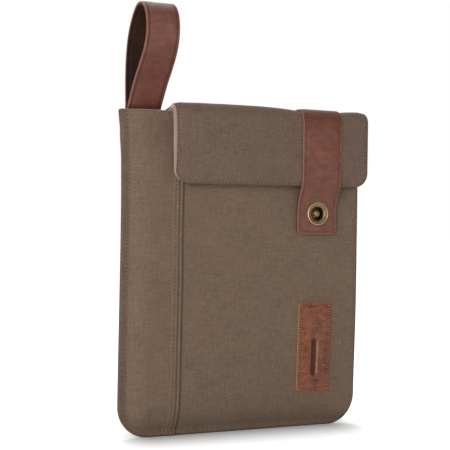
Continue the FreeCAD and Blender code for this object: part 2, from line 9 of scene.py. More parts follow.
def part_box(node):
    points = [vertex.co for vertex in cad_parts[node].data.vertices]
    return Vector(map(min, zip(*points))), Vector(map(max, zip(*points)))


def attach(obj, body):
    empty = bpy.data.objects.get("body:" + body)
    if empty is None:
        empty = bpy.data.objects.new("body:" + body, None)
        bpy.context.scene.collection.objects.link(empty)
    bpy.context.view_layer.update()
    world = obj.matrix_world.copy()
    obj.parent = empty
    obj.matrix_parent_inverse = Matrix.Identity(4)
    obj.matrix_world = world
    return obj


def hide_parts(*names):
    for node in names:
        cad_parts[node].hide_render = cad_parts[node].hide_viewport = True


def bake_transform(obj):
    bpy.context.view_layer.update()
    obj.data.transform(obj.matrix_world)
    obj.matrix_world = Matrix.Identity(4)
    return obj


# Padded canvas sleeve with a folding flap, a leather snap strap and a leather wrist loop.
# Lengths are in millimetres until a mesh is made.  X runs across, -Y is the front, +Z the mouth.

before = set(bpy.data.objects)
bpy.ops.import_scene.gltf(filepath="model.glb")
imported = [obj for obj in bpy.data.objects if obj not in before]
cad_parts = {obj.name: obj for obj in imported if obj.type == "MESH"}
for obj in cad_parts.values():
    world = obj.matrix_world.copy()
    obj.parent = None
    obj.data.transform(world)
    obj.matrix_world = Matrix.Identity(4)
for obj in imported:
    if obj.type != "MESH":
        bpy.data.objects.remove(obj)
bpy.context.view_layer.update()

MM = 0.001


def cad(node):
    """A CAD node's lowest and highest corner, in millimetres."""
    low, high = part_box(node)
    return [v / MM for v in low], [v / MM for v in high]


# ---------------------------------------------------------------- places and sizes

BACK_HIGH = cad("back_panel")[1]
FLAP_LOW, FLAP_HIGH = cad("flap_front_canvas")
LEG_LOW, LEG_HIGH = cad("flap_back_leg")
STRAP_LOW, STRAP_HIGH = cad("strap_front")
STRAP_BACK_LOW = cad("strap_back")[0]
TAB_LOW = cad("strap_tab_outer")[0]
RING_LOW, RING_HIGH = cad("snap_cap_ring")
STUD_LOW, STUD_HIGH = cad("snap_stud")
PATCH_LOW, PATCH_HIGH = cad("leather_patch")
LOOP_LOW, LOOP_HIGH = cad("handle_outer")

HALF = BACK_HIGH[0]
TOP = cad("front_side_panel")[1][2]
CORNER = 25.5
SPLIT = -0.5
FLANGE = 6.2
FRONT_FLANGE, BACK_FLANGE = 2.0, 3.0
FRONT_RISE, BACK_RISE = 8.3, BACK_HIGH[1] - SPLIT - BACK_FLANGE
RISE_RUN = 17.0
EDGE_ROLL = 2.0
MOUTH_ROLL = 1.6
FACING = 22.0
LINING_INSET = 7.4
PERIMETER_INSET = 4.3
MOUTH_INSET = 2.9
SEAM_STEP, SEAM_ROW = 3.1, 6.1
SEAM_LAP = 7.5
EDGE_INSET = 2.5
PITCH, LEATHER_PITCH, OVERSEW_PITCH = 3.1, 2.7, 2.4
STITCH, LEATHER_STITCH = 2.3, 1.8
SAMPLES = 7
THREAD, LEATHER_THREAD = 0.42, 0.34
LEATHER = 1.6
LEATHER_ROLL = 0.75
GAP = 0.05
WALL_STEP = 1.25
STRAP_STEP, STRAP_FINE, STRAP_BAND = 0.9, 0.8, 5.0
SNAP_DRIFT = 0.8
SNAP_X = (RING_LOW[0] + RING_HIGH[0]) / 2 - SNAP_DRIFT
SNAP_Z = (RING_LOW[2] + RING_HIGH[2]) / 2
RING_HOLE, BACKING_HOLE = 6.4, 7.2
PATCH_X = (PATCH_LOW[0] + PATCH_HIGH[0]) / 2
PATCH_Z = (PATCH_LOW[2] + PATCH_HIGH[2]) / 2

# The four bends: the two bodies, and where the blend starts and ends, in metres.
BACK_FOLD = ("sleeve", "flap_top", (0, 0.0131, 0.2615), (0, 0.0085, 0.2665))
FRONT_FOLD = ("flap_top", "flap_front", (0, -0.016, 0.2678), (0, -0.0217, 0.2621))
TAB_FOLD = ("flap_front", "strap_tab", (0, -0.0218, 0.2065), (0, -0.0150, 0.1950))
LOOP_FOLD = ("sleeve", "handle", (0, 0.0074, 0.2625), (0, 0.0074, 0.2745))


# ---------------------------------------------------------------- small maths

def smooth(a, b, value):
    """0 before a, 1 after b, and an even S-curve between."""
    t = np.clip((np.asarray(value, float) - a) / (b - a), 0, 1)
    return t * t * (3 - 2 * t)


def hump(value, middle, width):
    """A bell of height 1."""
    return np.exp(-(((np.asarray(value, float) - middle) / width) ** 2))


def wander(u, v, seed):
    """Smooth noise from -1 to 1, one cell to each unit."""
    iu, iv = np.floor(u), np.floor(v)
    fu, fv = u - iu, v - iv
    su, sv = fu * fu * (3 - 2 * fu), fv * fv * (3 - 2 * fv)

    def knot(a, b):
        n = np.sin(a * 127.1 + b * 311.7 + seed * 74.7) * 43758.5453
        return 2 * (n - np.floor(n)) - 1

    low = knot(iu, iv) * (1 - su) + knot(iu + 1, iv) * su
    high = knot(iu, iv + 1) * (1 - su) + knot(iu + 1, iv + 1) * su
    return low * (1 - sv) + high * sv


def rounding(depth, radius):
    """How much of a sheet's half thickness is left at this distance from its edge."""
    t = 1 - np.clip(depth / radius, 0, 1)
    return np.sqrt(np.clip(1 - t * t, 0, 1))


def curl(count, size):
    """Places from 0 to size, close together at 0, where an edge rounds over."""
    return size * (1 - np.cos(np.linspace(0, math.pi / 2, count)))


# ---------------------------------------------------------------- plates and profiles

class Plate:
    """A flat cut: x across, b along from its lower end, with rounded corners."""

    def __init__(self, x0, x1, length, corner=0.0, near=True, far=False, far_corner=0.0):
        self.x0, self.x1, self.length = x0, x1, length
        self.corner, self.near, self.far = corner, near, far
        self.far_corner = far_corner

    def inset(self, b):
        """How far the outline has drawn in from the side at b."""
        drawn = 0
        for r, along in ((self.corner, b), (self.far_corner, self.length - b)):
            reach = r - np.minimum(along, r)
            drawn = drawn + r - np.sqrt(np.clip(r * r - reach ** 2, 0, None))
        return drawn

    def depth(self, x, b):
        """Distance in from the cut edge."""
        side = np.minimum(x - self.x0, self.x1 - x)
        d = side
        ends = (self.corner, b, self.near), (self.far_corner, self.length - b, self.far)
        for _, along, cut in ends:
            d = np.minimum(d, along) if cut else d
        for r, along, cut in ends:
            if r and cut:
                inside = (side < r) & (along < r)
                d = np.where(inside, r - np.hypot(r - side, r - along), d)
        return np.clip(d, 0, None)

    def turn(self, x, b):
        """Distance along the edge, from the middle of the lower end."""
        r, half = self.corner, (self.x1 - self.x0) / 2
        mid = (self.x0 + self.x1) / 2
        side = half - np.abs(x - mid)
        arc = half - r + r * np.arctan2(r - side, np.maximum(r - b, 1e-9))
        up = half - r + r * math.pi / 2 + b - r
        t = np.where((side < r) & (b < r), arc, np.where(b < side, half - side, up))
        return np.where(x < mid, -1.0, 1.0) * t

    def at(self, t, d):
        """The point at a distance t along the edge and d in from it."""
        r, half = self.corner, (self.x1 - self.x0) / 2
        t = np.asarray(t, float)
        s, flat = np.abs(t), half - r
        angle = np.clip((s - flat) / max(r, 1e-9), 0, math.pi / 2)
        run = np.maximum(s - flat - r * math.pi / 2, 0)
        x = np.minimum(s, flat) + (r - d) * np.sin(angle)
        b = r - (r - d) * np.cos(angle) + run
        return (self.x0 + self.x1) / 2 + np.sign(t) * np.minimum(x, half - d), b

    def rim(self):
        """Half the length of the lower end and one side."""
        return (self.x1 - self.x0) / 2 - self.corner * (2 - math.pi / 2) + self.length

    def rows(self, step, fine=EDGE_ROLL):
        """Places along, close together where an edge rounds over."""
        low = self.corner if self.corner else (fine if self.near else 0.0)
        high = self.far_corner if self.far_corner else (fine if self.far else 0.0)
        count = max(2, int((self.length - low - high) / step) + 1)
        parts = [np.linspace(low, self.length - high, count)]
        if low:
            parts.append(curl(max(8, int(low / step * 1.7)), low))
        if high:
            parts.append(self.length - curl(max(8, int(high / step * 1.7)), high))
        return np.unique(np.round(np.concatenate(parts), 5))

    def between(self, low, high, step, fine=EDGE_ROLL):
        """Places along from low to high, with both ends among them."""
        rows = self.rows(step, fine)
        return np.unique(np.concatenate([rows[(rows > low) & (rows < high)], [low, high]]))

    def grid(self, step, rows=None, fine=EDGE_ROLL, band=8.0):
        """x and b of every sampled point, with columns close together at both sides."""
        rows = self.rows(step, fine) if rows is None else rows
        side = np.concatenate([curl(7, fine), np.arange(fine + 0.7, band, 0.7)])
        width = self.x1 - self.x0
        inner = np.linspace(band, width - band, max(2, int((width - 2 * band) / step)))
        across = np.concatenate([side, inner, (width - side)[::-1]])
        cut = self.inset(rows)[:, None]
        share = np.clip(across / width, 0, 1)[None, :]
        x = self.x0 + cut + share * (width - 2 * cut)
        reach = np.minimum(across, width - across)[None, :]
        near = across[None, :] < width / 2
        fixed = np.where(near, self.x0 + cut + reach, self.x1 - cut - reach)
        x = np.where((reach <= band) & (cut < width / 2 - band), fixed, x)
        return x, np.repeat(rows[:, None], len(across), 1)


def rounded(points, radii, step=0.5):
    """A polyline with its inner corners rounded to these radii."""
    points = [np.array(p, float) for p in points]
    line = [points[0]]
    for i, radius in enumerate(radii, start=1):
        into = points[i] - points[i - 1]
        into /= np.linalg.norm(into)
        leave = points[i + 1] - points[i]
        leave /= np.linalg.norm(leave)
        turn = math.acos(float(np.clip(into @ leave, -1, 1)))
        side = 1.0 if into[0] * leave[1] - into[1] * leave[0] > 0 else -1.0
        normal = side * np.array([-into[1], into[0]])
        centre = points[i] - into * radius * math.tan(turn / 2) + normal * radius
        count = int(radius * turn / step) + 2
        for a in np.linspace(0, turn, count):
            line.append(centre - normal * radius * math.cos(a) + into * radius * math.sin(a))
    line.append(points[-1])
    return np.array(line)


def flowing(points, steps=14):
    """A smooth line through points."""
    p = np.array(points, float)
    p = np.vstack([2 * p[0] - p[1], p, 2 * p[-1] - p[-2]])
    line = []
    for i in range(1, len(p) - 2):
        for t in np.linspace(0, 1, steps, endpoint=False):
            b = p[i + 1] - p[i - 1]
            c = 2 * p[i - 1] - 5 * p[i] + 4 * p[i + 1] - p[i + 2]
            d = 3 * p[i] - p[i - 1] - 3 * p[i + 1] + p[i + 2]
            line.append(0.5 * (2 * p[i] + b * t + c * t * t + d * t ** 3))
    line.append(p[-2])
    return np.array(line)


class Profile:
    """A line in the YZ plane, read by distance along it."""

    def __init__(self, line, step=0.5):
        length = np.concatenate([[0], np.cumsum(np.linalg.norm(np.diff(line, axis=0), axis=1))])
        self.length = float(length[-1])
        self.s = np.linspace(0, self.length, int(self.length / step) + 2)
        self.y, self.z = (np.interp(self.s, length, line[:, i]) for i in (0, 1))
        tangents = []
        for value in (self.y, self.z):
            slope = np.pad(np.gradient(value, self.s), 2, mode="edge")
            tangents.append(np.convolve(slope, np.ones(5) / 5, "valid"))
        self.ty, self.tz = np.array(tangents) / np.hypot(*tangents)

    def point(self, x, s, h):
        """The point at s along and h out from the line."""
        s = np.asarray(s, float)
        ty, tz = np.interp(s, self.s, self.ty), np.interp(s, self.s, self.tz)
        y = np.interp(s, self.s, self.y) - tz * h
        z = self.height(s) + ty * h
        return np.stack(np.broadcast_arrays(x, y, z), -1)

    def height(self, s):
        """The height at this distance along."""
        return np.interp(s, self.s, self.z)

    def where_z(self, z, last=False):
        """The distance along to this height, on the way up or, for last, on the way down."""
        crest = int(np.argmax(self.z))
        part = slice(crest, None) if last else slice(0, crest + 1)
        return float(self.s[part][int(np.argmin(np.abs(self.z[part] - z)))])

    def where_y(self, y, above):
        """The distance along to this y, on the part of the line above a height."""
        high = self.z > above
        return float(np.interp(y, self.y[high], self.s[high]))


# ---------------------------------------------------------------- meshes

def make(name, points, faces, material, cloth, rim=None, sharp=50, weld=True, fold=None):
    """A mesh object from points in millimetres, with UV maps in millimetres."""
    mesh = bpy.data.meshes.new(name)
    mesh.from_pydata((np.asarray(points, float) * MM).tolist(), [], faces)
    corners = np.zeros(len(mesh.loops), int)
    mesh.loops.foreach_get("vertex_index", corners)
    for layer, values in (("cloth", cloth), ("rim", rim)):
        if values is not None:
            uv = mesh.uv_layers.new(name=layer)
            uv.data.foreach_set("uv", np.asarray(values, np.float32)[corners].ravel())
    if fold is not None:
        layer = mesh.attributes.new("fold", "FLOAT", "POINT")
        layer.data.foreach_set("value", np.asarray(fold, np.float32))
    work = bmesh.new()
    work.from_mesh(mesh)
    if weld:
        bmesh.ops.remove_doubles(work, verts=work.verts, dist=2e-6)
    bmesh.ops.recalc_face_normals(work, faces=work.faces)
    work.to_mesh(mesh)
    work.free()
    mesh.materials.append(material)
    mesh.shade_smooth()
    mesh.set_sharp_from_angle(angle=math.radians(sharp))
    piece = bpy.data.objects.new(name, mesh)
    bpy.context.scene.collection.objects.link(piece)
    return piece


def settle(piece, nodes, hold):
    """Hides the CAD parts that a piece stands for, and parents it to the body that it moves with;
    a piece on a bend is only baked in place.
    """
    if nodes:
        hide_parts(*nodes)
    if isinstance(hold, str):
        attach(piece, hold)
    else:
        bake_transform(piece)


def shell(name, outer, inner, material, cloth, rim, skip=None, fold=None):
    """A closed sheet between two sampled faces.  skip drops cells, and the hole gets a wall."""
    rows, cols = outer.shape[:2]
    count = rows * cols
    index = np.arange(count).reshape(rows, cols)
    keep = np.ones((rows - 1, cols - 1), bool) if skip is None else ~skip
    corners = index[:-1, :-1], index[:-1, 1:], index[1:, 1:], index[1:, :-1]
    top = np.stack([corner[keep] for corner in corners], -1)
    faces = np.vstack([top, top[:, ::-1] + count])
    directed = np.concatenate([top[:, [i, (i + 1) % 4]] for i in range(4)])
    known = {(int(p), int(q)) for p, q in directed}
    walls = [(p, q, q + count, p + count) for p, q in known if (q, p) not in known]
    points = np.vstack([outer.reshape(-1, 3), inner.reshape(-1, 3)])
    maps = [np.vstack([np.stack(pair, -1).reshape(-1, 2)] * 2) for pair in (cloth, rim)]
    if fold is not None:
        fold = np.concatenate([np.ravel(fold)] * 2)
    return make(name, points, faces.tolist() + sorted(walls), material, *maps, fold=fold)


def tube(name, rings, material, uv=None):
    """Several swept tubes in one mesh.  rings is tube, ring, corner, xyz."""
    n, m, k = rings.shape[:3]
    index = np.arange(n * m * k).reshape(n, m, k)
    beside = np.roll(index, -1, axis=2)
    quads = np.stack([index[:, :-1], beside[:, :-1], beside[:, 1:], index[:, 1:]], -1)
    faces = quads.reshape(-1, 4).tolist() + index[:, 0, ::-1].tolist() + index[:, -1].tolist()
    if uv is None:
        length = np.linspace(0, 1, m)[None, :, None] * 3.0
        around = np.linspace(0, 1, k, endpoint=False)[None, None, :] * 3.0
        first = np.arange(n)[:, None, None] * 7.3
        uv = np.stack(np.broadcast_arrays(length + first, around + 0 * first), -1)
    return make(name, rings.reshape(-1, 3), faces, material, uv.reshape(-1, 2), None, 80, False)


def circle(sides):
    """The cosines and sines of even steps round a circle."""
    angle = np.linspace(0, 2 * math.pi, sides, endpoint=False)
    return angle, np.cos(angle), np.sin(angle)


def stitches(name, place, material, nodes, hold, radius=THREAD, lift=0.12, sink=0.6):
    """Sewn stitches.  place is (stitch, sample, xyz) points on the cloth and its normals."""
    points, normals = place
    t = np.linspace(-1, 1, points.shape[1])
    arch = (np.cos(t * math.pi / 2) ** 0.55) * (lift + sink) - sink
    centre = points + normals * arch[None, :, None]
    along = np.gradient(centre, axis=1)
    along /= np.linalg.norm(along, axis=2, keepdims=True)
    across = np.cross(along, normals)
    across /= np.linalg.norm(across, axis=2, keepdims=True)
    up = np.cross(across, along)
    _, cos, sin = circle(8)
    thick = radius * np.clip(1.12 - 0.5 * np.abs(t) ** 3, 0.3, 1)
    ring = (
        across[:, :, None, :] * cos[None, None, :, None]
        + up[:, :, None, :] * sin[None, None, :, None] * 0.85
    )
    rings = centre[:, :, None, :] + ring * thick[None, :, None, None]
    settle(tube(name, rings, material), nodes, hold)


def strokes(centres, length):
    """Places along each stitch of a row, from the stitches' centres."""
    return np.array(centres)[:, None] + np.linspace(-length / 2, length / 2, SAMPLES)[None, :]


def sew(surface, plate, inset, spans, pitch=PITCH, length=STITCH):
    """Stitch places along a plate's edge.  inset is a distance, or a function of the place."""
    centres = []
    for start, end in spans:
        first, last = math.ceil(start / pitch - 0.5), math.floor(end / pitch - 0.5)
        centres += [(k + 0.5) * pitch for k in range(first, last + 1)]
    t = strokes(centres, length)
    return on_surface(surface, *plate.at(t, inset(t) if callable(inset) else inset))


def on_surface(surface, x, b):
    """Points and outward normals of a surface, which gives the point at x, b and height."""
    step = 0.4
    points = surface(x, b, 0.0)
    du = surface(x + step, b, 0.0) - surface(x - step, b, 0.0)
    dv = surface(x, b + step, 0.0) - surface(x, b - step, 0.0)
    normals = np.cross(du, dv)
    normals /= np.maximum(np.linalg.norm(normals, axis=-1, keepdims=True), 1e-9)
    return points, normals


def joined(*places):
    """Several rows of stitches as one."""
    return [np.concatenate(part) for part in zip(*places)]


def lathe(name, profile, material, steps, node, body):
    """A turned part about the snap's axis, from (radius, y) points of a closed section."""
    line = np.array(profile, float)
    angle, cos, sin = circle(steps)
    radius, y = np.repeat(line[:, :1], steps, 1), np.repeat(line[:, 1:], steps, 1)
    points = np.stack([SNAP_X + radius * cos, y, SNAP_Z + radius * sin], -1).reshape(-1, 3)
    index = np.arange(len(points)).reshape(len(line), steps)
    below, beside = np.roll(index, -1, 0), np.roll(index, -1, 1)
    corner = np.roll(below, -1, 1)
    faces = np.stack([index, beside, corner, below], -1).reshape(-1, 4).tolist()
    run = np.concatenate([[0], np.cumsum(np.hypot(*np.diff(line, axis=0).T))])
    around = np.repeat(angle[None, :] * 6.0, len(line), 0)
    cloth = np.stack([np.repeat(run[:, None], steps, 1), around], -1)
    rim = np.stack([radius, y], -1)
    piece = make(name, points, faces, material, cloth.reshape(-1, 2), rim.reshape(-1, 2), 60)
    settle(piece, [node], body)


# ---------------------------------------------------------------- materials

def linear(r, g, b):
    """A display colour, 0 to 255, as linear light."""
    out = []
    for c in (r, g, b):
        c /= 255.0
        out.append(c / 12.92 if c <= 0.04045 else ((c + 0.055) / 1.055) ** 2.4)
    return (*out, 1.0)


class Shader:
    """A material's nodes, written as sums."""

    def __init__(self, name, roughness=0.8, **sockets):
        self.material = bpy.data.materials.new(name)
        self.material.use_nodes = True
        self.tree = self.material.node_tree
        self.bsdf = self.tree.nodes["Principled BSDF"]
        self.bsdf.inputs["Roughness"].default_value = roughness
        for key, value in sockets.items():
            self.bsdf.inputs[key.replace("_", " ")].default_value = value

    def put(self, socket, value):
        """Links a value to a socket, or sets it."""
        if isinstance(value, bpy.types.NodeSocket):
            self.tree.links.new(value, socket)
        elif value is not None:
            socket.default_value = value

    def node(self, kind, out=0, **inputs):
        """A node's output.  Settings and inputs are given by name."""
        node = self.tree.nodes.new("ShaderNode" + kind)
        for key, value in inputs.items():
            if hasattr(node, key):
                setattr(node, key, value)
        for key, value in inputs.items():
            if not hasattr(node, key):
                self.put(node.inputs[key.replace("_", " ")], value)
        return node.outputs[out]

    def math(self, operation, a, b=None, clamp=False):
        node = self.tree.nodes.new("ShaderNodeMath")
        node.operation, node.use_clamp = operation, clamp
        for socket, value in zip(node.inputs, (a, b)):
            self.put(socket, value)
        return node.outputs[0]

    def mul(self, a, b):
        return self.math("MULTIPLY", a, b)

    def add(self, a, b):
        return self.math("ADD", a, b)

    def sub(self, a, b):
        return self.math("SUBTRACT", a, b)

    def span(self, value):
        """A value's distance from 0."""
        return self.math("ABSOLUTE", value)

    def reach(self, a, b):
        """The length of the side across from a right angle between a and b."""
        return self.math("SQRT", self.add(self.mul(a, a), self.mul(b, b)))

    def tone(self, *parts):
        """The product of low + span x value for each (value, low, span)."""
        total = 1.0
        for value, low, span in parts:
            total = self.mul(total, self.add(low, self.mul(value, span)))
        return total

    def ramp(self, value, low, high):
        """A smooth step from 0 at low to 1 at high."""
        node = self.tree.nodes.new("ShaderNodeMapRange")
        node.interpolation_type = "SMOOTHSTEP"
        turned = low > high
        ends = (high, low) if turned else (low, high)
        self.put(node.inputs["Value"], value)
        node.inputs["From Min"].default_value, node.inputs["From Max"].default_value = ends
        node.inputs["To Min"].default_value = 1.0 if turned else 0.0
        node.inputs["To Max"].default_value = 0.0 if turned else 1.0
        return node.outputs["Result"]

    def mix(self, factor, a, b):
        """Colour a where the factor is 0 and b where it is 1."""
        node = self.tree.nodes.new("ShaderNodeMix")
        node.data_type = "RGBA"
        for socket, value in ((0, factor), (6, a), (7, b)):
            self.put(node.inputs[socket], value)
        return node.outputs[2]

    def gain(self, colour, value):
        """A colour times a number."""
        node = self.tree.nodes.new("ShaderNodeVectorMath")
        node.operation = "SCALE"
        self.put(node.inputs[0], colour)
        self.put(node.inputs["Scale"], value)
        return node.outputs[0]

    def split(self, vector):
        """A vector's first two parts."""
        parts = self.tree.nodes.new("ShaderNodeSeparateXYZ")
        self.put(parts.inputs[0], vector)
        return parts.outputs[0], parts.outputs[1]

    def uv(self, layer):
        """A UV map's vector and its two parts."""
        vector = self.node("UVMap", uv_map=layer)
        return (vector, *self.split(vector))

    def noise(self, vector, scale, detail=2.0, rough=0.5, stretch=None):
        """Noise from 0 to 1, with scale in cells to the vector's unit."""
        if stretch is not None:
            mapping = self.tree.nodes.new("ShaderNodeMapping")
            mapping.inputs["Scale"].default_value = (*stretch, 1.0)
            self.put(mapping.inputs["Vector"], vector)
            vector = mapping.outputs[0]
        return self.node("TexNoise", Vector=vector, Scale=scale, Detail=detail, Roughness=rough)

    def finish(self, colour, roughness=None, bump=None, strength=0.5, distance=0.2):
        """Links what was made to the surface.  distance is the bump's height in millimetres."""
        self.put(self.bsdf.inputs["Base Color"], colour)
        self.put(self.bsdf.inputs["Roughness"], roughness)
        if bump is not None:
            node = self.tree.nodes.new("ShaderNodeBump")
            node.inputs["Strength"].default_value = strength
            node.inputs["Distance"].default_value = distance * MM
            self.put(node.inputs["Height"], bump)
            self.put(self.bsdf.inputs["Normal"], node.outputs[0])
        return self.material


def stitch_holes(s, t, d, inset, pitch=PITCH, size=0.95):
    """Needle holes, the pulled line between them, and the place within a stitch's pitch. The
    materials darken the holes and the line as painted shade.
    """
    cell = s.sub(s.math("FRACT", s.add(s.math("DIVIDE", t, pitch), 0.5)), 0.5)
    away = s.sub(d, inset)
    hole = s.ramp(s.reach(s.mul(cell, pitch), away), size, size * 0.4)
    return hole, s.ramp(s.span(away), 1.0, 0.2), cell


def canvas_material(name, base, inset, yarn=0.92, rim_shade=0.2):
    """Waxed plain-weave canvas with slubby yarns and a sewn edge; painted shade darkens the edge
    band, the seams' grooves and the needle holes, and painted highlight lightens the seams'
    ridges.
    """
    s = Shader(name, 0.88, Sheen_Weight=0.06, Sheen_Roughness=0.45, Specular_IOR_Level=0.16)
    vector, u, v = s.uv("cloth")
    _, t, d = s.uv("rim")
    # On the canvas the fold attribute is painted seam shading: painted shade in the seam's
    # grooves and along its fold edge above 0, painted highlight on its ridges below 0.
    fold = s.node("Attribute", out=2, attribute_name="fold")
    wave_u, wave_v = (s.math("SINE", s.mul(part, math.pi / yarn)) for part in (u, v))
    cross = s.mul(s.mul(wave_u, wave_v), 0.5)
    warp = s.add(s.mul(s.span(wave_u), 0.5), cross)
    weft = s.sub(s.mul(s.span(wave_v), 0.5), cross)
    weave = s.math("MAXIMUM", warp, weft)
    slub_u = s.noise(vector, 1.0, 2.0, 0.6, (1.15, 0.09))
    slub_v = s.noise(vector, 1.0, 2.0, 0.6, (0.09, 1.15))
    on_top = s.ramp(s.sub(warp, weft), -0.15, 0.15)
    slub = s.add(s.mul(slub_u, on_top), s.mul(slub_v, s.sub(1.0, on_top)))
    fleck = s.noise(vector, 0.85, 3.0, 0.7)
    hole, line, _ = stitch_holes(s, t, d, inset)
    tone = s.tone(
        (weave, 0.56, 0.5),
        (slub, 0.62, 0.76),
        (fleck, 0.76, 0.48),
        (s.noise(vector, 0.035, 3.0, 0.55), 0.86, 0.28),
        (s.noise(vector, 1.0, 3.0, 0.7, (0.62, 0.09)), 0.74, 0.52),
        (s.noise(vector, 1.0, 3.0, 0.7, (0.09, 0.62)), 0.74, 0.52),
        (s.noise(vector, 0.5, 2.0, 0.6), 0.75, 0.5),
        (fold, 1.0, -0.2),
        # Painted shade in the needle holes and along the stitch groove.
        (hole, 1.0, -0.22),
        (line, 1.0, -0.06),
        # Painted shade: rim_shade darkens the last few millimetres towards the edge.
        (s.ramp(d, 3.6, 1.0), 1.0, -rim_shade),
    )
    yarns = ([c * gain for c in base[:3]] + [1.0] for gain in (0.93, 1.07))
    warm = s.mix(slub, *yarns)
    pale = s.mix(s.ramp(fleck, 0.6, 0.78), warm, linear(140, 120, 100))
    colour = s.gain(s.mix(0.5, warm, pale), tone)
    # Painted shade: the seam's grooves and the stitch line are mixed towards a warm dark brown.
    painted_shade_mix = s.math("ADD", s.mul(fold, 0.42), s.mul(line, 0.16), clamp=True)
    colour = s.mix(painted_shade_mix, colour, linear(62, 42, 27))
    fuzz = s.noise(vector, 3.0, 2.0, 0.6)
    height = s.add(s.mul(weave, 0.8), s.add(s.mul(fuzz, 0.22), s.mul(slub, 0.3)))
    rough = s.add(0.8, s.mul(fleck, 0.16))
    return s.finish(colour, rough, s.sub(height, s.mul(hole, 0.9)), 0.55, 0.28)


def leather_material(name, body, dark, ember, edge, inset=EDGE_INSET, pitch=LEATHER_PITCH,
                     holes=0.4, across=False, shine=0.3):
    """Pull-up leather: cloudy waxy tone, fine grain, scuffs, burnished folds and a raw edge.

    The "fold" attribute burnishes where it is above 0 and rubs the leather pale below it.
    """
    s = Shader(name, 0.5, Specular_IOR_Level=shine)
    vector, *_ = s.uv("cloth")
    _, t, d = s.uv("rim")
    fold = s.node("Attribute", out=2, attribute_name="fold")
    mottle = s.noise(vector, 0.3, 6.0, 0.7)
    streak = s.noise(vector, 0.5, 5.0, 0.75, (0.22, 1.7))
    pore = s.node("TexVoronoi", Vector=vector, Scale=1.5, feature="DISTANCE_TO_EDGE")
    cloud = s.mul(s.noise(vector, 0.075, 5.0, 0.62), 0.55)
    shade = s.add(cloud, s.add(s.mul(mottle, 0.25), s.mul(streak, 0.2)))
    colour = s.mix(s.ramp(shade, 0.40, 0.66), body, dark)
    hot = s.mul(s.ramp(s.noise(vector, 0.06, 4.0, 0.6), 0.46, 0.7), 0.75)
    colour = s.mix(hot, colour, ember)
    burnt = s.math("MULTIPLY", fold, s.add(0.55, s.mul(streak, 0.8)), clamp=True)
    colour = s.mix(burnt, colour, dark)
    colour = s.mix(s.math("MULTIPLY", fold, -1.0, clamp=True), colour, edge)
    hole, line, cell = stitch_holes(s, t, d, inset, pitch)
    # Painted shade at the needle holes, along the stitch line and between the oversewn wraps.
    if across:
        gap = s.mul(s.ramp(s.span(cell), 0.2, 0.42), s.ramp(d, inset + 0.2, inset - 0.5))
        sewn = (gap, 1.0, -0.34)
    else:
        sewn = (line, 1.0, -0.12)
    tone = s.tone(
        (mottle, 0.75, 0.44),
        (streak, 0.81, 0.38),
        (s.ramp(s.noise(vector, 0.14, 4.0, 0.6, (0.8, 1.3)), 0.38, 0.62), 0.88, 0.24),
        (s.ramp(s.noise(vector, 0.4, 3.0, 0.6, (0.35, 1.6)), 0.36, 0.64), 0.92, 0.16),
        (s.ramp(pore, 0.0, 0.16), 0.9, 0.1),
        (s.ramp(s.noise(vector, 0.7, 6.0, 0.8, (1.0, 0.4)), 0.58, 0.74), 1.0, 0.16),
        (burnt, 1.0, -0.05),
        (hole, 1.0, -holes),
        sewn,
    )
    colour = s.gain(colour, tone)
    ragged = s.add(d, s.mul(s.sub(s.noise(vector, 0.8, 3.0, 0.6), 0.5), 0.4))
    raw = s.ramp(ragged, 0.34, 0.08)
    colour = s.mix(s.mul(raw, 0.8), colour, edge)
    colour = s.mix(s.mul(s.ramp(d, 1.3, 0.3), 0.14), colour, edge)
    rough = s.add(0.5, s.add(s.mul(mottle, 0.16), s.mul(raw, 0.25)))
    grain = s.mul(s.noise(vector, 2.4, 3.0, 0.65), 0.45)
    height = s.add(s.add(s.mul(s.ramp(pore, 0.0, 0.22), 0.4), grain), s.mul(streak, 0.5))
    return s.finish(colour, rough, s.sub(height, s.mul(hole, 1.2)), 0.5, 0.2)


def thread_material(name, base, dark):
    """Three-ply waxed thread."""
    s = Shader(name, 0.75, Specular_IOR_Level=0.15)
    vector, u, v = s.uv("cloth")
    twist = s.math("SINE", s.mul(s.add(s.mul(u, 2.2), v), 2 * math.pi / 1.5))
    tone = s.noise(vector, 1.3, 2.0, 0.6)
    colour = s.mix(s.add(s.mul(twist, 0.3), s.mul(tone, 0.7)), dark, base)
    return s.finish(colour, None, s.add(twist, tone), 0.5, 0.08)


def lining_material(name, base, rib=0.7):
    """Brushed twill lining."""
    s = Shader(name, 0.95, Sheen_Weight=0.5, Sheen_Roughness=0.5, Specular_IOR_Level=0.2)
    vector, u, v = s.uv("cloth")
    twill = s.math("SINE", s.mul(s.add(u, v), 2 * math.pi / rib))
    fleck = s.noise(vector, 1.1, 3.0, 0.65)
    cloud = s.noise(vector, 0.05, 3.0, 0.5)
    worn = s.add(0.72, s.add(s.mul(fleck, 0.3), s.mul(cloud, 0.22)))
    colour = s.gain(base[:3], s.mul(worn, s.tone((twill, 1.0, 0.07))))
    return s.finish(colour, None, s.add(s.mul(twill, 0.5), fleck), 0.4, 0.15)


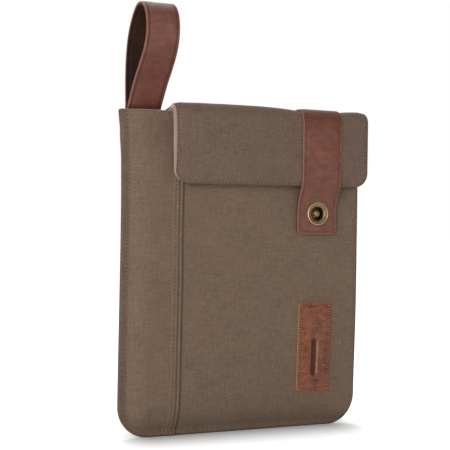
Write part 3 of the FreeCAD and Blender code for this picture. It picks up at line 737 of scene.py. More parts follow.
def brass_material(name, bright, bronze, dark, recess_shade_radii=None, crest=None):
    """Aged brass: bronze faces, a rubbed bright crest and painted shade darkening the recess
    round the dome.

    The radii for the recess's painted shade and for the crest are in millimetres, read from the
    turned part's map.
    """
    s = Shader(name, 0.4, Metallic=1.0)
    place = s.node("TexCoord", out=3)
    patch = s.noise(place, 300.0, 4.0, 0.6)
    fine = s.noise(place, 2600.0, 3.0, 0.7)
    mask = s.add(s.mul(patch, 0.75), s.mul(fine, 0.25))
    colour = s.mix(s.mul(s.ramp(mask, 0.36, 0.66), 0.45), bronze, dark)
    if crest is not None:
        _, radius, _ = s.uv("rim")
        rubbed = s.mul(s.ramp(radius, *crest), s.add(0.55, s.mul(patch, 0.6)))
        colour = s.mix(rubbed, colour, bright)
        # Painted shade: darkens the recess between the dome and the ring's bore almost to the
        # dark colour.
        painted_shade_mix = s.mul(s.ramp(radius, *recess_shade_radii[:2]), s.ramp(radius, *recess_shade_radii[:1:-1]))
        colour = s.mix(s.mul(painted_shade_mix, 0.93), colour, dark)
    return s.finish(colour, s.add(0.27, s.mul(mask, 0.3)), fine, 0.15, 0.03)


def steel_material(name):
    """Drawn spring wire."""
    s = Shader(name, 0.3, Metallic=1.0)
    fine = s.noise(s.node("TexCoord", out=3), 1800.0, 3.0, 0.6)
    colour = s.mix(fine, linear(120, 122, 126), linear(186, 188, 190))
    return s.finish(colour, s.add(0.22, s.mul(fine, 0.2)), fine, 0.15, 0.05)


CANVAS = canvas_material("sleeve_canvas", linear(96, 79, 65), PERIMETER_INSET)
FLAP_CANVAS = canvas_material("flap_canvas", linear(91, 74, 63), EDGE_INSET, rim_shade=0.12)
# Pale colour for the flap's rolled edge: a painted highlight where the key light from the left
# falls on the edge.
EDGE_ROLL_PAINTED_HIGHLIGHT = lining_material("flap_edge_painted_highlight", linear(126, 101, 88))
FLAP_LINING = lining_material("flap_lining", linear(70, 56, 47))
LINING = lining_material("pocket_lining", linear(84, 69, 60))
FACING_TAPE = lining_material("mouth_tape", linear(96, 70, 58))
LEATHER_STRAP = leather_material(
    "strap_leather", linear(91, 59, 50), linear(85, 42, 24), linear(98, 55, 34),
    linear(140, 92, 78),
)
LEATHER_LOOP = leather_material(
    "loop_leather", linear(89, 56, 47), linear(82, 40, 26), linear(96, 51, 33),
    linear(134, 92, 80), holes=0.6,
)
LEATHER_PATCH = leather_material(
    "patch_leather", linear(109, 67, 50), linear(60, 28, 13), linear(120, 68, 43),
    linear(156, 108, 82), inset=3.0, pitch=OVERSEW_PITCH, across=True, shine=0.2,
)
# Very dark leather for the undersides and the loop's inner layer: painted shade for the shadowed
# inside of the loop.
LEATHER_UNDERSIDE_PAINTED_SHADE = leather_material(
    "leather_underside_painted_shade", linear(42, 22, 14), linear(30, 15, 10), linear(46, 24, 15),
    linear(72, 44, 34), shine=0.1,
)
CANVAS_THREAD = thread_material("canvas_thread", linear(122, 99, 84), linear(92, 74, 62))
DARK_THREAD = thread_material("leather_thread", linear(96, 48, 36), linear(54, 24, 16))
PALE_THREAD = thread_material("strap_thread", linear(126, 76, 60), linear(84, 44, 32))
PATCH_THREAD = thread_material("patch_thread", linear(150, 102, 76), linear(110, 66, 45))
BRASS = brass_material(
    "antique_brass", linear(204, 182, 150), linear(130, 106, 78), linear(34, 26, 18),
    recess_shade_radii=(2.9, 3.5, 4.9, 6.1), crest=(8.85, 9.25),
)
BRASS_DARK = brass_material(
    "antique_brass_dark", linear(120, 94, 62), linear(84, 66, 46), linear(34, 26, 18)
)
STEEL = steel_material("spring_steel")


# ---------------------------------------------------------------- sleeve body

BODY = Plate(-HALF, HALF, TOP, CORNER)


def seam_x(z):
    """The fold edge of the side panel, which leans outwards towards the bottom."""
    lean = -58.9 + 2.4 * z / 200.0 + 0.25 * np.sin(z / 31.0)
    return lean - 0.9 * smooth(128, 178, z)


def bow(x, z):
    """The left side draws in above mid height and flares at the top; the right draws in low."""
    z = np.clip(z, 0, TOP)
    left = 1.4 * np.sin(math.pi * (z / TOP) ** 1.8) - 1.0 * smooth(TOP - 16, TOP, z)
    right = -1.6 * smooth(110, 12, z)
    return x + np.where(x < 0, left, right) * (x / HALF) ** 2


def side_shift(t):
    """How much further in the topstitching runs along the sides than along the bottom."""
    return 1.3 * smooth(66, 118, np.abs(t))


def perimeter_inset(t):
    """How far in from the edge the topstitching runs."""
    return PERIMETER_INSET + side_shift(t)


def outside(side, x, z):
    """How far one outer face stands out from the plane where the halves meet."""
    d, t = BODY.depth(x, z), BODY.turn(x, z)
    flange, rise = (FRONT_FLANGE, FRONT_RISE) if side < 0 else (BACK_FLANGE, BACK_RISE)
    full = smooth(BODY.rim() * 0.185, BODY.rim() * 0.29, t) if side < 0 else 0.0
    start = FLANGE - 3.9 * full
    reach = RISE_RUN - 9.5 * full + 9.0 * smooth(100, 76, np.abs(t))
    run = 1 - (1 - np.clip((d - start) / reach, 0, 1)) ** 2.2
    mouth = smooth(TOP - 34, TOP, z)
    if side < 0:
        pinch = smooth(-48, -78, x) * smooth(TOP - 60, TOP, z)
        rise = rise - 3.1 * mouth - 1.9 * pinch
    else:
        rise = rise - 0.4 * mouth
    rim = flange * rounding(d, EDGE_ROLL)
    base = rim + rise * run
    if side > 0:
        root = smooth(224, 242, z) * smooth(LOOP_LOW[0] - 8, LOOP_LOW[0] - 1, x)
        root = root * smooth(LOOP_HIGH[0] + 24, LOOP_HIGH[0] + 4, x)
        base = base + np.maximum(11.2 - base, 0) * root
    groove = 0.5 * hump(d - side_shift(t), PERIMETER_INSET, 1.0) * (1 - 0.7 * full)
    pucker = 0.16 * hump(d, 8.2, 3.2) * np.cos(math.pi * t / PITCH)
    ease = 0.30 * wander(x / 31.0, z / 37.0, 3 + side) * smooth(12, 30, d)
    creep = 0.10 * wander(x / 9.0, z / 11.0, 9 + side) * smooth(8, 20, d)
    drag = 0.14 * wander(t / 13.0, d / 60.0, 5) * hump(d, 15, 8)
    row = 0.3 * hump(z, TOP - MOUTH_INSET, 0.9) * smooth(4, 9, d)
    return np.maximum(base - groove + pucker + ease + creep + drag - row, rim * 0.5)


def inside(side, x, z):
    """How far the lining stands out from that plane."""
    d = BODY.depth(x, z)
    deep = 4.8 if side < 0 else 5.8
    least = 0.35
    run = 1 - (1 - np.clip((d - 9.0) / 6.0, 0, 1)) ** 2
    face = outside(side, x, z)
    under = np.maximum(face - 2.2, least)
    return np.minimum(np.minimum(least + (deep - least) * run, under), face)


def lap(x, z):
    """The side panel's extra height where it laps over the main panel."""
    away = seam_x(z) - x
    up = 0.9 * smooth(8.8, 7.0, away)
    ridge = 0.45 * hump(away, 1.5, 0.9) + 0.4 * hump(away, 4.6, 0.9)
    ridge = ridge - 0.5 * hump(away, SEAM_STEP, 0.6) - 0.4 * hump(away, SEAM_ROW, 0.7)
    turn = rounding(np.clip(away, 0, None), 0.9)
    ripple = 0.1 * hump(away, 2.0, 1.6) * np.cos(math.pi * z / PITCH)
    return up + (ridge + ripple) * smooth(3, 9, BODY.depth(x, z)) - 0.7 * (1 - turn)


def seam_ditch(x, z):
    """How far the main panel sinks beside the seam."""
    return 0.35 * hump(x, seam_x(z) + 1.0, 1.4)


def body_point(side, x, z, amount):
    """A point of the body at this distance out from the meeting plane."""
    x, z, amount = np.broadcast_arrays(x, z, amount)
    return np.stack([bow(x, z), SPLIT + side * amount, z], -1)


def front_surface(x, z, h):
    """The front's outer face, on the side panel left of the seam and the main panel right."""
    z = np.asarray(z, float)
    step = np.where(x > seam_x(z), -seam_ditch(x, z), lap(x, z))
    return body_point(-1, x, z, outside(-1, x, z) + step + h)


def back_surface(x, z, h):
    """The back's outer face."""
    return body_point(1, x, z, outside(1, x, np.asarray(z, float)) + h)


def close_mouth(out, inn, z):
    """Both faces drawn together where the wall turns over at the mouth."""
    middle, half = (out + inn) / 2, (out - inn) / 2
    half = half * rounding(TOP - z, MOUTH_ROLL)
    return middle + half, middle - half


def wall(name, side, x, z, out, inn, nodes, cloth, fold=None):
    """A padded wall of the sleeve between its outer face and its lining."""
    out, inn = close_mouth(out, inn, z)
    turn = BODY.turn(x, z)
    rim = (turn, BODY.depth(x, z) - side_shift(turn))
    outer, inner = body_point(side, x, z, out), body_point(side, x, z, inn)
    piece = shell(name, outer, inner, CANVAS, cloth, rim, fold=fold)
    settle(piece, nodes, "sleeve")


def body_rows():
    """Places up the body, which close up where the mouth turns over."""
    rows = BODY.rows(WALL_STEP)
    rows = rows[rows < TOP - MOUTH_ROLL - 0.4]
    return np.concatenate([rows, TOP - curl(8, MOUTH_ROLL)[::-1]])


ROWS = body_rows()
SEAM = seam_x(ROWS)[:, None]
REACH = HALF - BODY.inset(ROWS)[:, None]
SIDE_BAND = np.concatenate([curl(7, EDGE_ROLL), np.arange(2.7, 8.3, 0.7)])


def on_rows(x):
    """The height of every sampled point of a wall."""
    return np.repeat(ROWS[:, None], x.shape[1], 1)


def back_wall():
    """The back, in one panel."""
    x, z = BODY.grid(WALL_STEP, ROWS)
    nodes = ["back_panel", "back_padding"]
    wall("back_wall", 1, x, z, outside(1, x, z), inside(1, x, z), nodes, (x, z))


def main_panel():
    """The front's main panel, which starts under the lap."""
    share = np.concatenate([np.linspace(0, 0.045, 9), np.linspace(0.045, 1, 120)[1:]])
    left = np.minimum(SEAM - SEAM_LAP, REACH - 20)
    x = left + share[None, :] * (REACH - 9.0 - left)
    x = np.concatenate([x, REACH - SIDE_BAND[None, ::-1]], 1)
    z = on_rows(x)
    out = outside(-1, x, z) - seam_ditch(x, z)
    out = out - 0.5 * smooth(1.0, -0.5, x - seam_x(z)) * smooth(3, 8, BODY.depth(x, z))
    nodes = ["front_main_panel", "front_padding"]
    # Painted shade along the lap's fold edge, where its shadow falls on the main panel.
    painted_seam_shading = 0.9 * hump(x, seam_x(z) + 0.2, 1.1)
    wall("front_main", -1, x, z, out, inside(-1, x, z), nodes, (x, z), painted_seam_shading)


def side_panel():
    """The front's side panel, which ends at the seam's fold edge."""
    band, fold_band = 8.3, 9.4
    fold = np.concatenate([np.arange(fold_band, 1.0, -0.4), curl(6, 0.9)[::-1]])[None, :]
    share = np.linspace(0, 1, 30)[None, 1:-1]
    middle = band - REACH + share * (SEAM - fold_band + REACH - band)
    x = np.sort(np.concatenate([SIDE_BAND[None, :] - REACH, middle, SEAM - fold], 1), 1)
    x = np.maximum(x, -REACH)
    z = on_rows(x)
    under, inn = outside(-1, x, z), inside(-1, x, z)
    out = under + lap(x, z)
    away = seam_x(z) - x
    inn = np.minimum(np.where(away < 8.0, np.maximum(inn, under - 0.25), inn), out)
    # Painted shade in the stitch grooves and along the fold edge, painted highlight on the ridges
    # between them.
    painted_seam_shading = 0.75 * hump(away, SEAM_ROW, 0.7) + 0.75 * hump(away, SEAM_STEP, 0.6)
    painted_seam_shading = painted_seam_shading + 0.95 * hump(away, 0.0, 0.7)
    painted_seam_shading = painted_seam_shading - 0.35 * hump(away, 4.6, 0.7) - 0.3 * hump(away, 1.6, 0.6)
    wall("front_side", -1, x, z, out, inn, ["front_side_panel"], (z, x), painted_seam_shading)


def lining(name, side, node):
    """One face of the pocket."""
    half = HALF - LINING_INSET
    length = TOP - FACING + 2 - LINING_INSET
    plate = Plate(-half, half, length, CORNER - LINING_INSET)
    x, b = plate.grid(2.6)
    z, d = b + LINING_INSET, plate.depth(x, b)
    outer = np.maximum(inside(side, x, z) - 0.12, 0.12)
    inner = body_point(side, x, z, outer - 0.3 * rounding(d, 0.8))
    piece = shell(name, body_point(side, x, z, outer), inner, LINING, (x, z), (x, d))
    settle(piece, [node], "sleeve")


def facing(name, side, node):
    """Tape turned over the mouth's edge and sewn down inside."""
    x = np.linspace(-HALF + 1.2, HALF - 1.2, 170)[None, :]
    down = np.linspace(TOP - FACING, TOP - MOUTH_ROLL, 16)
    over, outwards = curl(9, MOUTH_ROLL)[-2::-1], curl(9, MOUTH_ROLL)[1:5]
    heights = np.concatenate([down, TOP - over, TOP - outwards])[:, None]
    x, z = np.broadcast_arrays(x, heights)
    out, inn = outside(side, x, z), inside(side, x, z)
    if side < 0:
        out = out + np.where(x <= seam_x(z), lap(x, z), 0.0)
    out, inn = close_mouth(out, inn, z)
    amount = np.where(np.arange(len(heights))[:, None] < len(down) + len(over), inn, out)
    along = np.gradient(np.stack([side * amount, z], -1), axis=0)
    along = along / np.maximum(np.linalg.norm(along, axis=2, keepdims=True), 1e-6)
    base = body_point(side, x, z, amount)
    lifted = base.copy()
    thick = 0.45
    lifted[..., 1] += thick * along[..., 1]
    lifted[..., 2] -= thick * along[..., 0]
    rim = (x, np.minimum(z - TOP + FACING, 9.0))
    piece = shell(name, lifted, base, FACING_TAPE, (x, z), rim)
    settle(piece, [node], "sleeve")


def body_stitches():
    """Topstitching round both faces, beside the seam and below the mouth."""
    reach = BODY.rim() - 3.0
    front = sew(front_surface, BODY, perimeter_inset, [(-reach, reach)])
    points, normals = sew(back_surface, BODY, perimeter_inset, [(-reach, reach)])
    z = strokes(6.0 + np.arange(int((TOP - 10) / PITCH)) * PITCH, STITCH)
    seam = on_surface(front_surface, seam_x(z) - SEAM_ROW, z)
    mouth_pitch, mouth_stitch = 4.0, 2.8
    x = strokes(np.arange(-HALF + 9.5, HALF - 9, mouth_pitch), mouth_stitch)
    mouth = on_surface(front_surface, x, np.full_like(x, TOP - MOUTH_INSET))
    for name, place, node in (
        ("perimeter_stitches", joined(front, (points, -normals)), "perimeter_thread"),
        ("seam_stitches", seam, "seam_thread"),
        ("mouth_stitches", mouth, "front_mouth_thread"),
    ):
        stitches(name, place, CANVAS_THREAD, [node], "sleeve")


back_wall()
main_panel()
side_panel()
lining("front_pocket_lining", -1, "front_lining")
lining("back_pocket_lining", 1, "back_lining")
facing("front_facing", -1, "front_mouth_facing")
facing("back_facing", 1, "back_mouth_facing")
body_stitches()


# ---------------------------------------------------------------- leather patch

def patch():
    """Leather patch with a plain pressed bar, oversewn all round its edge."""
    width, height, corner, tilt = 31.0, 75.0, 3.4, math.radians(1.0)
    bar_x, bar_b, bar_half = -0.4, height / 2 - 8.7, 13.2
    plate = Plate(-width / 2, width / 2, height, corner, True, True, corner)
    x, b = plate.grid(0.5, fine=0.8, band=4.2)
    d = plate.depth(x, b)

    def bar_reach(px, pb):
        """Distance from the pressed bar's middle line."""
        return np.hypot(px - bar_x, np.maximum(np.abs(pb - bar_b) - bar_half, 0))

    def surface(px, pb, h):
        """The leather's face, pressed in at its rim and bar."""
        dx, dz = px, pb - height / 2
        wx = PATCH_X + dx * math.cos(tilt) + dz * math.sin(tilt)
        wz = PATCH_Z - dx * math.sin(tilt) + dz * math.cos(tilt)
        depth, bar = plate.depth(px, pb), bar_reach(px, pb)
        press = -0.22 * smooth(3.4, 1.2, depth) - 0.85 * smooth(2.4, 1.4, bar)
        lip = smooth(-1.0, 2.0, px) * smooth(15.5, 13.0, np.abs(pb - bar_b))
        press = press + 0.36 * hump(bar, 3.3, 0.9) * lip
        press = press + 0.12 * wander(px / 7.0, pb / 8.0, 21)
        return body_point(-1, wx, wz, outside(-1, wx, wz) + GAP + h + press)

    def pressed(px, pb):
        """Burnt inside the pressed bar, rubbed pale along its right lip."""
        bar = bar_reach(px, pb)
        ragged = 0.5 * wander(px / 1.3, pb / 1.6, 23)
        lip = hump(bar, 3.3, 0.75) * smooth(0, 1.5, px)
        lip = lip * smooth(15.0, 12.5, np.abs(pb - bar_b))
        return 1.6 * smooth(2.7, 1.6, bar + ragged) - 0.75 * lip

    half = 0.75 * rounding(d, 0.7)
    outer, inner = surface(x, b, 0.75 + half), surface(x, b, 0.75 - half * 1.2)
    rim = (plate.turn(x, np.minimum(b, height - b)), d)
    piece = shell("patch", outer, inner, LEATHER_PATCH, (x + 300, b), rim, fold=pressed(x, b))
    settle(piece, ["leather_patch"], "sleeve")
    count = int((plate.rim() - height / 2) / OVERSEW_PITCH)
    t = np.arange(-count, count + 1)[:, None] * OVERSEW_PITCH
    away = np.linspace(0.35, 3.0, SAMPLES)[None, :]
    px, pb = plate.at(t + (away - 1.7) * 0.22, away + 0 * t)
    lower = on_surface(lambda x, b, h: surface(x, b, h + 1.5), px, pb)
    points, normals = on_surface(lambda x, b, h: surface(x, height - b, h + 1.5), px, pb)
    stitches(
        "patch_stitches", joined(lower, (points, -normals)), PATCH_THREAD,
        ["patch_thread"], "sleeve", lift=0.16, sink=0.45,
    )


patch()


# ---------------------------------------------------------------- flap

FLAP_Y, HEM = FLAP_LOW[1], FLAP_LOW[2]
BACK_Y = LEG_HIGH[1]
APEX = 270.5
CREST = 264
CUT_Y = -4.0
FLAP_CORNER = 12.0
FOLD_RADII = [10.7, 2.9]
FLAP_LINE = Profile(
    rounded([(FLAP_Y, HEM), (FLAP_Y, APEX), (BACK_Y, 265.6), (BACK_Y, LEG_LOW[2])], FOLD_RADII)
)
FLAP = Plate(FLAP_LOW[0] + 0.4, FLAP_HIGH[0], FLAP_LINE.length, FLAP_CORNER, True, True)
FOLD_FRONT = FLAP_LINE.where_z(TOP - 3)
FOLD_TOP = FLAP_LINE.where_y(CUT_Y, CREST)
FOLD_BACK = FLAP_LINE.where_z(262.0, last=True)
STRAP_MID = (STRAP_LOW[0] + STRAP_HIGH[0]) / 2
STRAP_HALF = (STRAP_HIGH[0] - STRAP_LOW[0]) / 2
STRAP_SAG = 2.4


def on_top(s):
    """1 over the sleeve's mouth, falling away round both folds."""
    return smooth(FOLD_FRONT - 4, FOLD_TOP - 6, s) * smooth(FOLD_BACK - 1, FOLD_BACK - 9, s)


def flap_relief(x, s):
    """The padded flap's rise and fall over its smooth outer line."""
    d = FLAP.depth(x, s)
    front = smooth(FOLD_FRONT + 6, FOLD_FRONT - 12, s)
    leg = smooth(FOLD_BACK - 6, FOLD_BACK + 4, s)
    edge = -0.9 * (1 - smooth(0.6, 7.0, d)) * (1 - 0.6 * leg)
    crown = 0.75 * smooth(5, 26, d) * (0.4 + 0.6 * front) * (1 - leg)
    dip = -0.75 * hump(x, STRAP_MID, STRAP_HALF + 9) * (1 - leg)
    sag = -STRAP_SAG * hump(x, STRAP_MID, STRAP_HALF + 11) * on_top(s)
    droop = -2.0 * smooth(FLAP.x0 + 26, FLAP.x0, x) * smooth(FOLD_TOP - 6, FOLD_BACK - 4, s)
    droop = droop * (1 - smooth(FOLD_BACK - 5, FOLD_BACK + 2, s))
    groove = -0.42 * hump(d, EDGE_INSET, 0.8)
    ease = 0.35 * wander(x / 33.0, s / 24.0, 14) * smooth(3, 12, d) * (1 - leg)
    creep = 0.10 * wander(x / 8.0, s / 9.0, 15) * smooth(3, 10, d) * (1 - leg)
    relief = edge + crown + dip + groove + ease + creep
    over = smooth(STRAP_HALF + 2.5, STRAP_HALF - 1.0, np.abs(x - STRAP_MID))
    relief = relief * (1 - over) + np.minimum(relief, -0.15) * over
    return relief + sag + droop


def flap_surface(x, s, h):
    """The flap's outer face."""
    return FLAP_LINE.point(x, s, flap_relief(x, s) + h)


def flap_thickness(s):
    """Canvas with its foam, and the backing: both thin out on the back leg."""
    thin = smooth(FOLD_TOP, FOLD_BACK, s)
    return 3.7 - 2.3 * thin, 2.4 - 1.2 * thin


def flap_canvas(name, low, high, nodes, fold):
    """A length of the flap's canvas with its padding."""
    x, s = FLAP.grid(1.4, FLAP.between(low, high, 1.2), fine=2.2)
    d, relief = FLAP.depth(x, s), flap_relief(x, s)
    canvas, _ = flap_thickness(s)
    middle, half = (relief - canvas) / 2, (relief + canvas) / 2 * rounding(d, 2.2)
    faces = [FLAP_LINE.point(x, s, middle + h) for h in (half, -half)]
    piece = shell(name, *faces, FLAP_CANVAS, (x, s), (FLAP.turn(x, s), d))
    settle(piece, nodes, fold)


def flap_lining(name, low, high, node, fold):
    """A length of the flap's lining."""
    plate = Plate(FLAP.x0 + 0.9, FLAP.x1 - 1.0, FLAP_LINE.length - 1.2, 11.0, True, True)
    high = min(high, plate.length)
    x, b = plate.grid(2.2, plate.between(low, high, 1.6), fine=1.4, band=6.0)
    s = b + 1.0 * (1 - smooth(0, 30, b))
    d = plate.depth(x, b)
    canvas, backing = flap_thickness(s)
    half = backing / 2 * rounding(d, 1.3)
    middle = 0.15 - canvas - backing / 2 + np.minimum(flap_relief(x, s), 0) * on_top(s)
    faces = [FLAP_LINE.point(x, s, middle + h) for h in (half, -half)]
    piece = shell(name, *faces, FLAP_LINING, (x, s), (plate.turn(x, b), d))
    settle(piece, [node], fold)


def edge_roll():
    """The flap's rolled edge along its left side, which tucks into the mouth; its pale colour is
    a painted highlight of the key light from the left.
    """
    line = Profile(
        flowing(
            [
                (-17.0, HEM + 2.0), (-17.8, HEM + 6.0), (-18.6, HEM + 14.0), (-18.9, 230.0),
                (-18.9, 246.0), (-18.7, 254.0), (-17.8, 260.4), (-15.4, 264.0),
                (-11.4, 265.4), (-7.2, 264.7), (-5.0, 262.8), (-4.2, 261.2),
            ]
        )
    )
    steps = 260
    s = np.linspace(0, line.length, steps)
    size = 1.3 * rounding(s, 6.0) * (0.72 + 0.28 * smooth(0, 34, s))
    size = np.maximum(size * rounding(line.length - s, 1.5), 0.02)[:, None]
    below = np.clip(HEM + FLAP_CORNER - line.height(s), 0, FLAP_CORNER)
    inward = FLAP_CORNER - np.sqrt(FLAP_CORNER ** 2 - below ** 2) + 0.45 * smooth(30, 0, s)
    middle = FLAP.x0 + 0.1 + inward + 0.12 * wander(s / 9.0, s * 0, 51)
    angle, cos, sin = circle(14)
    along = np.repeat(s[:, None], len(angle), 1)
    points = line.point(middle[:, None] + size * cos * 1.15, along, size * sin)
    around = np.repeat(angle[None, :] * 1.3, steps, 0)
    uv = np.stack([along, around], -1)
    # The roll's pale colour is a painted highlight.
    piece = tube("flap_edge_roll", points[None], EDGE_ROLL_PAINTED_HIGHLIGHT, uv[None])
    settle(piece, [], FRONT_FOLD)


def flap_stitches():
    """The flap's topstitching, with a gap under the strap, and two rows across its back leg."""
    corner_rim = FLAP.rim() - FLAP.length
    low, high = corner_rim + FOLD_TOP, corner_rim + FLAP.length - 6.0
    middle = (FLAP.x0 + FLAP.x1) / 2
    gap = STRAP_LOW[0] - middle - 1.0, STRAP_HIGH[0] - middle + 1.0
    hem = sew(flap_surface, FLAP, EDGE_INSET, [(-low, gap[0]), (gap[1], low)])
    stitches("flap_stitches", hem, CANVAS_THREAD, ["flap_thread"], FRONT_FOLD)
    sides = sew(flap_surface, FLAP, EDGE_INSET, [(-high, -low), (low, high)])
    x = strokes(np.arange(FLAP.x0 + 5, FLAP.x1 - 4, PITCH), STITCH)
    x = x[np.abs(x[:, SAMPLES // 2] - STRAP_MID) > STRAP_HALF + 1.5]
    across = [
        on_surface(flap_surface, x, np.full_like(x, FLAP.length - up)) for up in (2.5, 40.0)
    ]
    stitches(
        "flap_anchor_stitches", joined(sides, *across), CANVAS_THREAD,
        ["flap_anchor_thread"], BACK_FOLD,
    )


flap_canvas(
    "flap_lower", 0.0, FOLD_TOP, ["flap_front_canvas", "flap_front_padding"], FRONT_FOLD
)
flap_canvas(
    "flap_upper", FOLD_TOP, FLAP_LINE.length,
    ["flap_top_canvas", "flap_top_padding", "flap_back_leg"], BACK_FOLD,
)
flap_lining("flap_backing_lower", 0.0, FOLD_TOP, "flap_front_lining", FRONT_FOLD)
flap_lining(
    "flap_backing_upper", FOLD_TOP, FLAP_LINE.length, "flap_top_lining", BACK_FOLD
)
edge_roll()
flap_stitches()


# ---------------------------------------------------------------- strap and tab

TAB_Y = -13.0
STRAP_LINE = Profile(
    rounded(
        [
            (TAB_Y, TAB_LOW[2]),
            (TAB_Y - 0.2, 188.6),
            (FLAP_Y, 206.4),
            (FLAP_Y, APEX - STRAP_SAG - 0.3),
            (BACK_Y, 265.7),
            (BACK_Y, STRAP_BACK_LOW[2]),
        ],
        [30.0, 30.0, *FOLD_RADII],
    )
)
STRAP_CORNER = 4.5
STRAP = Plate(STRAP_LOW[0], STRAP_HIGH[0], STRAP_LINE.length, STRAP_CORNER, True, True)
BACKING_END = STRAP_LINE.where_z(200.0)
DRIFT_END = STRAP_LINE.where_z(212.0)
TAB_END = STRAP_LINE.where_z(228.0)
STRAP_FRONT_FOLD = STRAP_LINE.where_z(262.0)
STRAP_TOP = STRAP_LINE.where_y(CUT_Y, CREST)


def strap_relief(x, s):
    """Sewn grooves and the soft unevenness of the leather."""
    d = STRAP.depth(x, s)
    groove = -0.26 * hump(d, EDGE_INSET, 0.75)
    soft = 0.22 * wander(x / 15.0, s / 19.0, 31) * smooth(0, 6, d)
    crease = 0.10 * wander(x / 24.0, s / 4.5, 32) * hump(s, STRAP_FRONT_FOLD, 12)
    return groove + soft + crease - 0.25 * smooth(6, 0, d)


def strap_point(x, s, h):
    """A point of the strap, whose loose end drifts a little to the left."""
    drift = SNAP_DRIFT * smooth(DRIFT_END, DRIFT_END - 22, s)
    return STRAP_LINE.point(x - drift, s, h)


def strap_surface(x, s, h):
    """The strap's outer face."""
    return strap_point(x, s, GAP + LEATHER + strap_relief(x, s) + h)


def strap_fold(s):
    """How strongly the strap is bent, which burnishes it."""
    bent = 1.3 * hump(s, STRAP_FRONT_FOLD + 4, 17)
    return np.maximum(bent, 0.5 * hump(s, BACKING_END, 14))


def near_snap(x, s, radius):
    """True for the cells of a grid whose middle is this close to the snap's."""
    reach = np.hypot(x - SNAP_DRIFT - SNAP_X, STRAP_LINE.height(s) - SNAP_Z)
    corners = reach[:-1, :-1] + reach[1:, 1:] + reach[:-1, 1:] + reach[1:, :-1]
    return corners / 4 < radius


def strap_run(name, low, high, nodes, fold, hole=False):
    """A length of the leather strap, with or without the snap's hole."""
    rows = STRAP.between(low, high, STRAP_STEP, STRAP_FINE)
    x, s = STRAP.grid(STRAP_STEP, rows, STRAP_FINE, STRAP_BAND)
    d = STRAP.depth(x, s)
    round_off = rounding(d, LEATHER_ROLL)
    half, middle = LEATHER / 2 * round_off, GAP + LEATHER / 2
    outer = strap_point(x, s, middle + half + strap_relief(x, s) * round_off)
    inner = strap_point(x, s, middle - half)
    rim = (STRAP.turn(x, s), d)
    skip = near_snap(x, s, RING_HOLE) if hole else None
    piece = shell(name, outer, inner, LEATHER_STRAP, (x, s), rim, skip, strap_fold(s))
    settle(piece, nodes, fold)


def tab_backing():
    """The second layer of leather behind the tab."""
    plate = Plate(STRAP.x0 + 0.1, STRAP.x1 - 0.1, BACKING_END, STRAP_CORNER, True, True)
    x, s = plate.grid(STRAP_STEP, None, STRAP_FINE, STRAP_BAND)
    d = plate.depth(x, s)
    half = (LEATHER / 2 - GAP) * rounding(d, 0.7)
    faces = [strap_point(x, s, h - LEATHER / 2) for h in (half, -half)]
    rim = (plate.turn(x, s), d)
    hole = near_snap(x, s, BACKING_HOLE)
    piece = shell("strap_end_backing", *faces, LEATHER_UNDERSIDE_PAINTED_SHADE, (x + 90, s), rim, hole)
    settle(piece, ["strap_tab_backing"], TAB_FOLD)


def strap_stitches():
    """The rows along both edges of the strap, cut where the strap is."""
    rim = STRAP.rim() - STRAP.length
    tab, top, end = rim + TAB_END, rim + STRAP_TOP, rim + STRAP.length - 2.0
    for name, spans, nodes, fold in (
        ("tab_stitches", [(-tab, tab)], ["tab_thread"], TAB_FOLD),
        ("strap_stitches", [(-top, -tab), (tab, top)], ["strap_thread"], FRONT_FOLD),
        ("strap_upper_stitches", [(-end, -top), (top, end)], [], BACK_FOLD),
    ):
        place = sew(strap_surface, STRAP, EDGE_INSET, spans, LEATHER_PITCH, LEATHER_STITCH)
        stitches(name, place, PALE_THREAD, nodes, fold,
                 LEATHER_THREAD, sink=0.5)


strap_run("strap_end", 0.0, TAB_END, ["strap_tab_outer"], TAB_FOLD, hole=True)
strap_run("strap_middle", TAB_END, STRAP_TOP, ["strap_front"], FRONT_FOLD)
strap_run("strap_upper", STRAP_TOP, STRAP_LINE.length, ["strap_top", "strap_back"], BACK_FOLD)
tab_backing()
strap_stitches()


# ---------------------------------------------------------------- snap

def snap_ring():
    """The cap ring: a rubbed crest, a sloping face and a bore down to the tab's back."""
    face, back = RING_LOW[1], RING_HIGH[1]
    bed = TAB_Y - LEATHER
    front = [
        (9.62, bed + 0.3), (9.7, bed - 0.8), (9.5, face + 0.3), (9.12, face + 0.02),
        (8.8, face + 0.16), (8.5, face + 0.46), (7.7, face + 0.6), (6.9, face + 0.78),
        (6.3, face + 1.1), (5.85, face + 1.7), (5.4, bed + 0.4), (5.2, bed + 1.0),
        (5.1, back),
    ]
    barrel = [(5.9, back), (5.9, bed + 0.9), (7.4, bed + 0.3)]
    profile = np.vstack([flowing(front, 6), barrel])
    lathe("snap_ring", profile, BRASS, 96, "snap_cap_ring", "strap_tab")


def snap_stud():
    """The stud: a round head on a neck and a flange."""
    tip, seat = STUD_LOW[1], STUD_HIGH[1]
    front = [
        (0.02, tip), (0.9, tip + 0.06), (1.8, tip + 0.36), (2.5, tip + 0.85),
        (2.88, tip + 1.5), (2.75, tip + 2.1), (2.2, tip + 2.7), (2.1, tip + 3.6),
        (2.35, seat - 0.75), (5.4, seat - 0.62), (5.95, seat - 0.3), (6.0, seat + 0.25),
    ]
    profile = np.vstack([flowing(front, 6), [(0.02, seat + 0.25)]])
    lathe("snap_stud_dome", profile, BRASS, 64, "snap_stud", "sleeve")


snap_ring()
snap_stud()


# ---------------------------------------------------------------- wrist loop

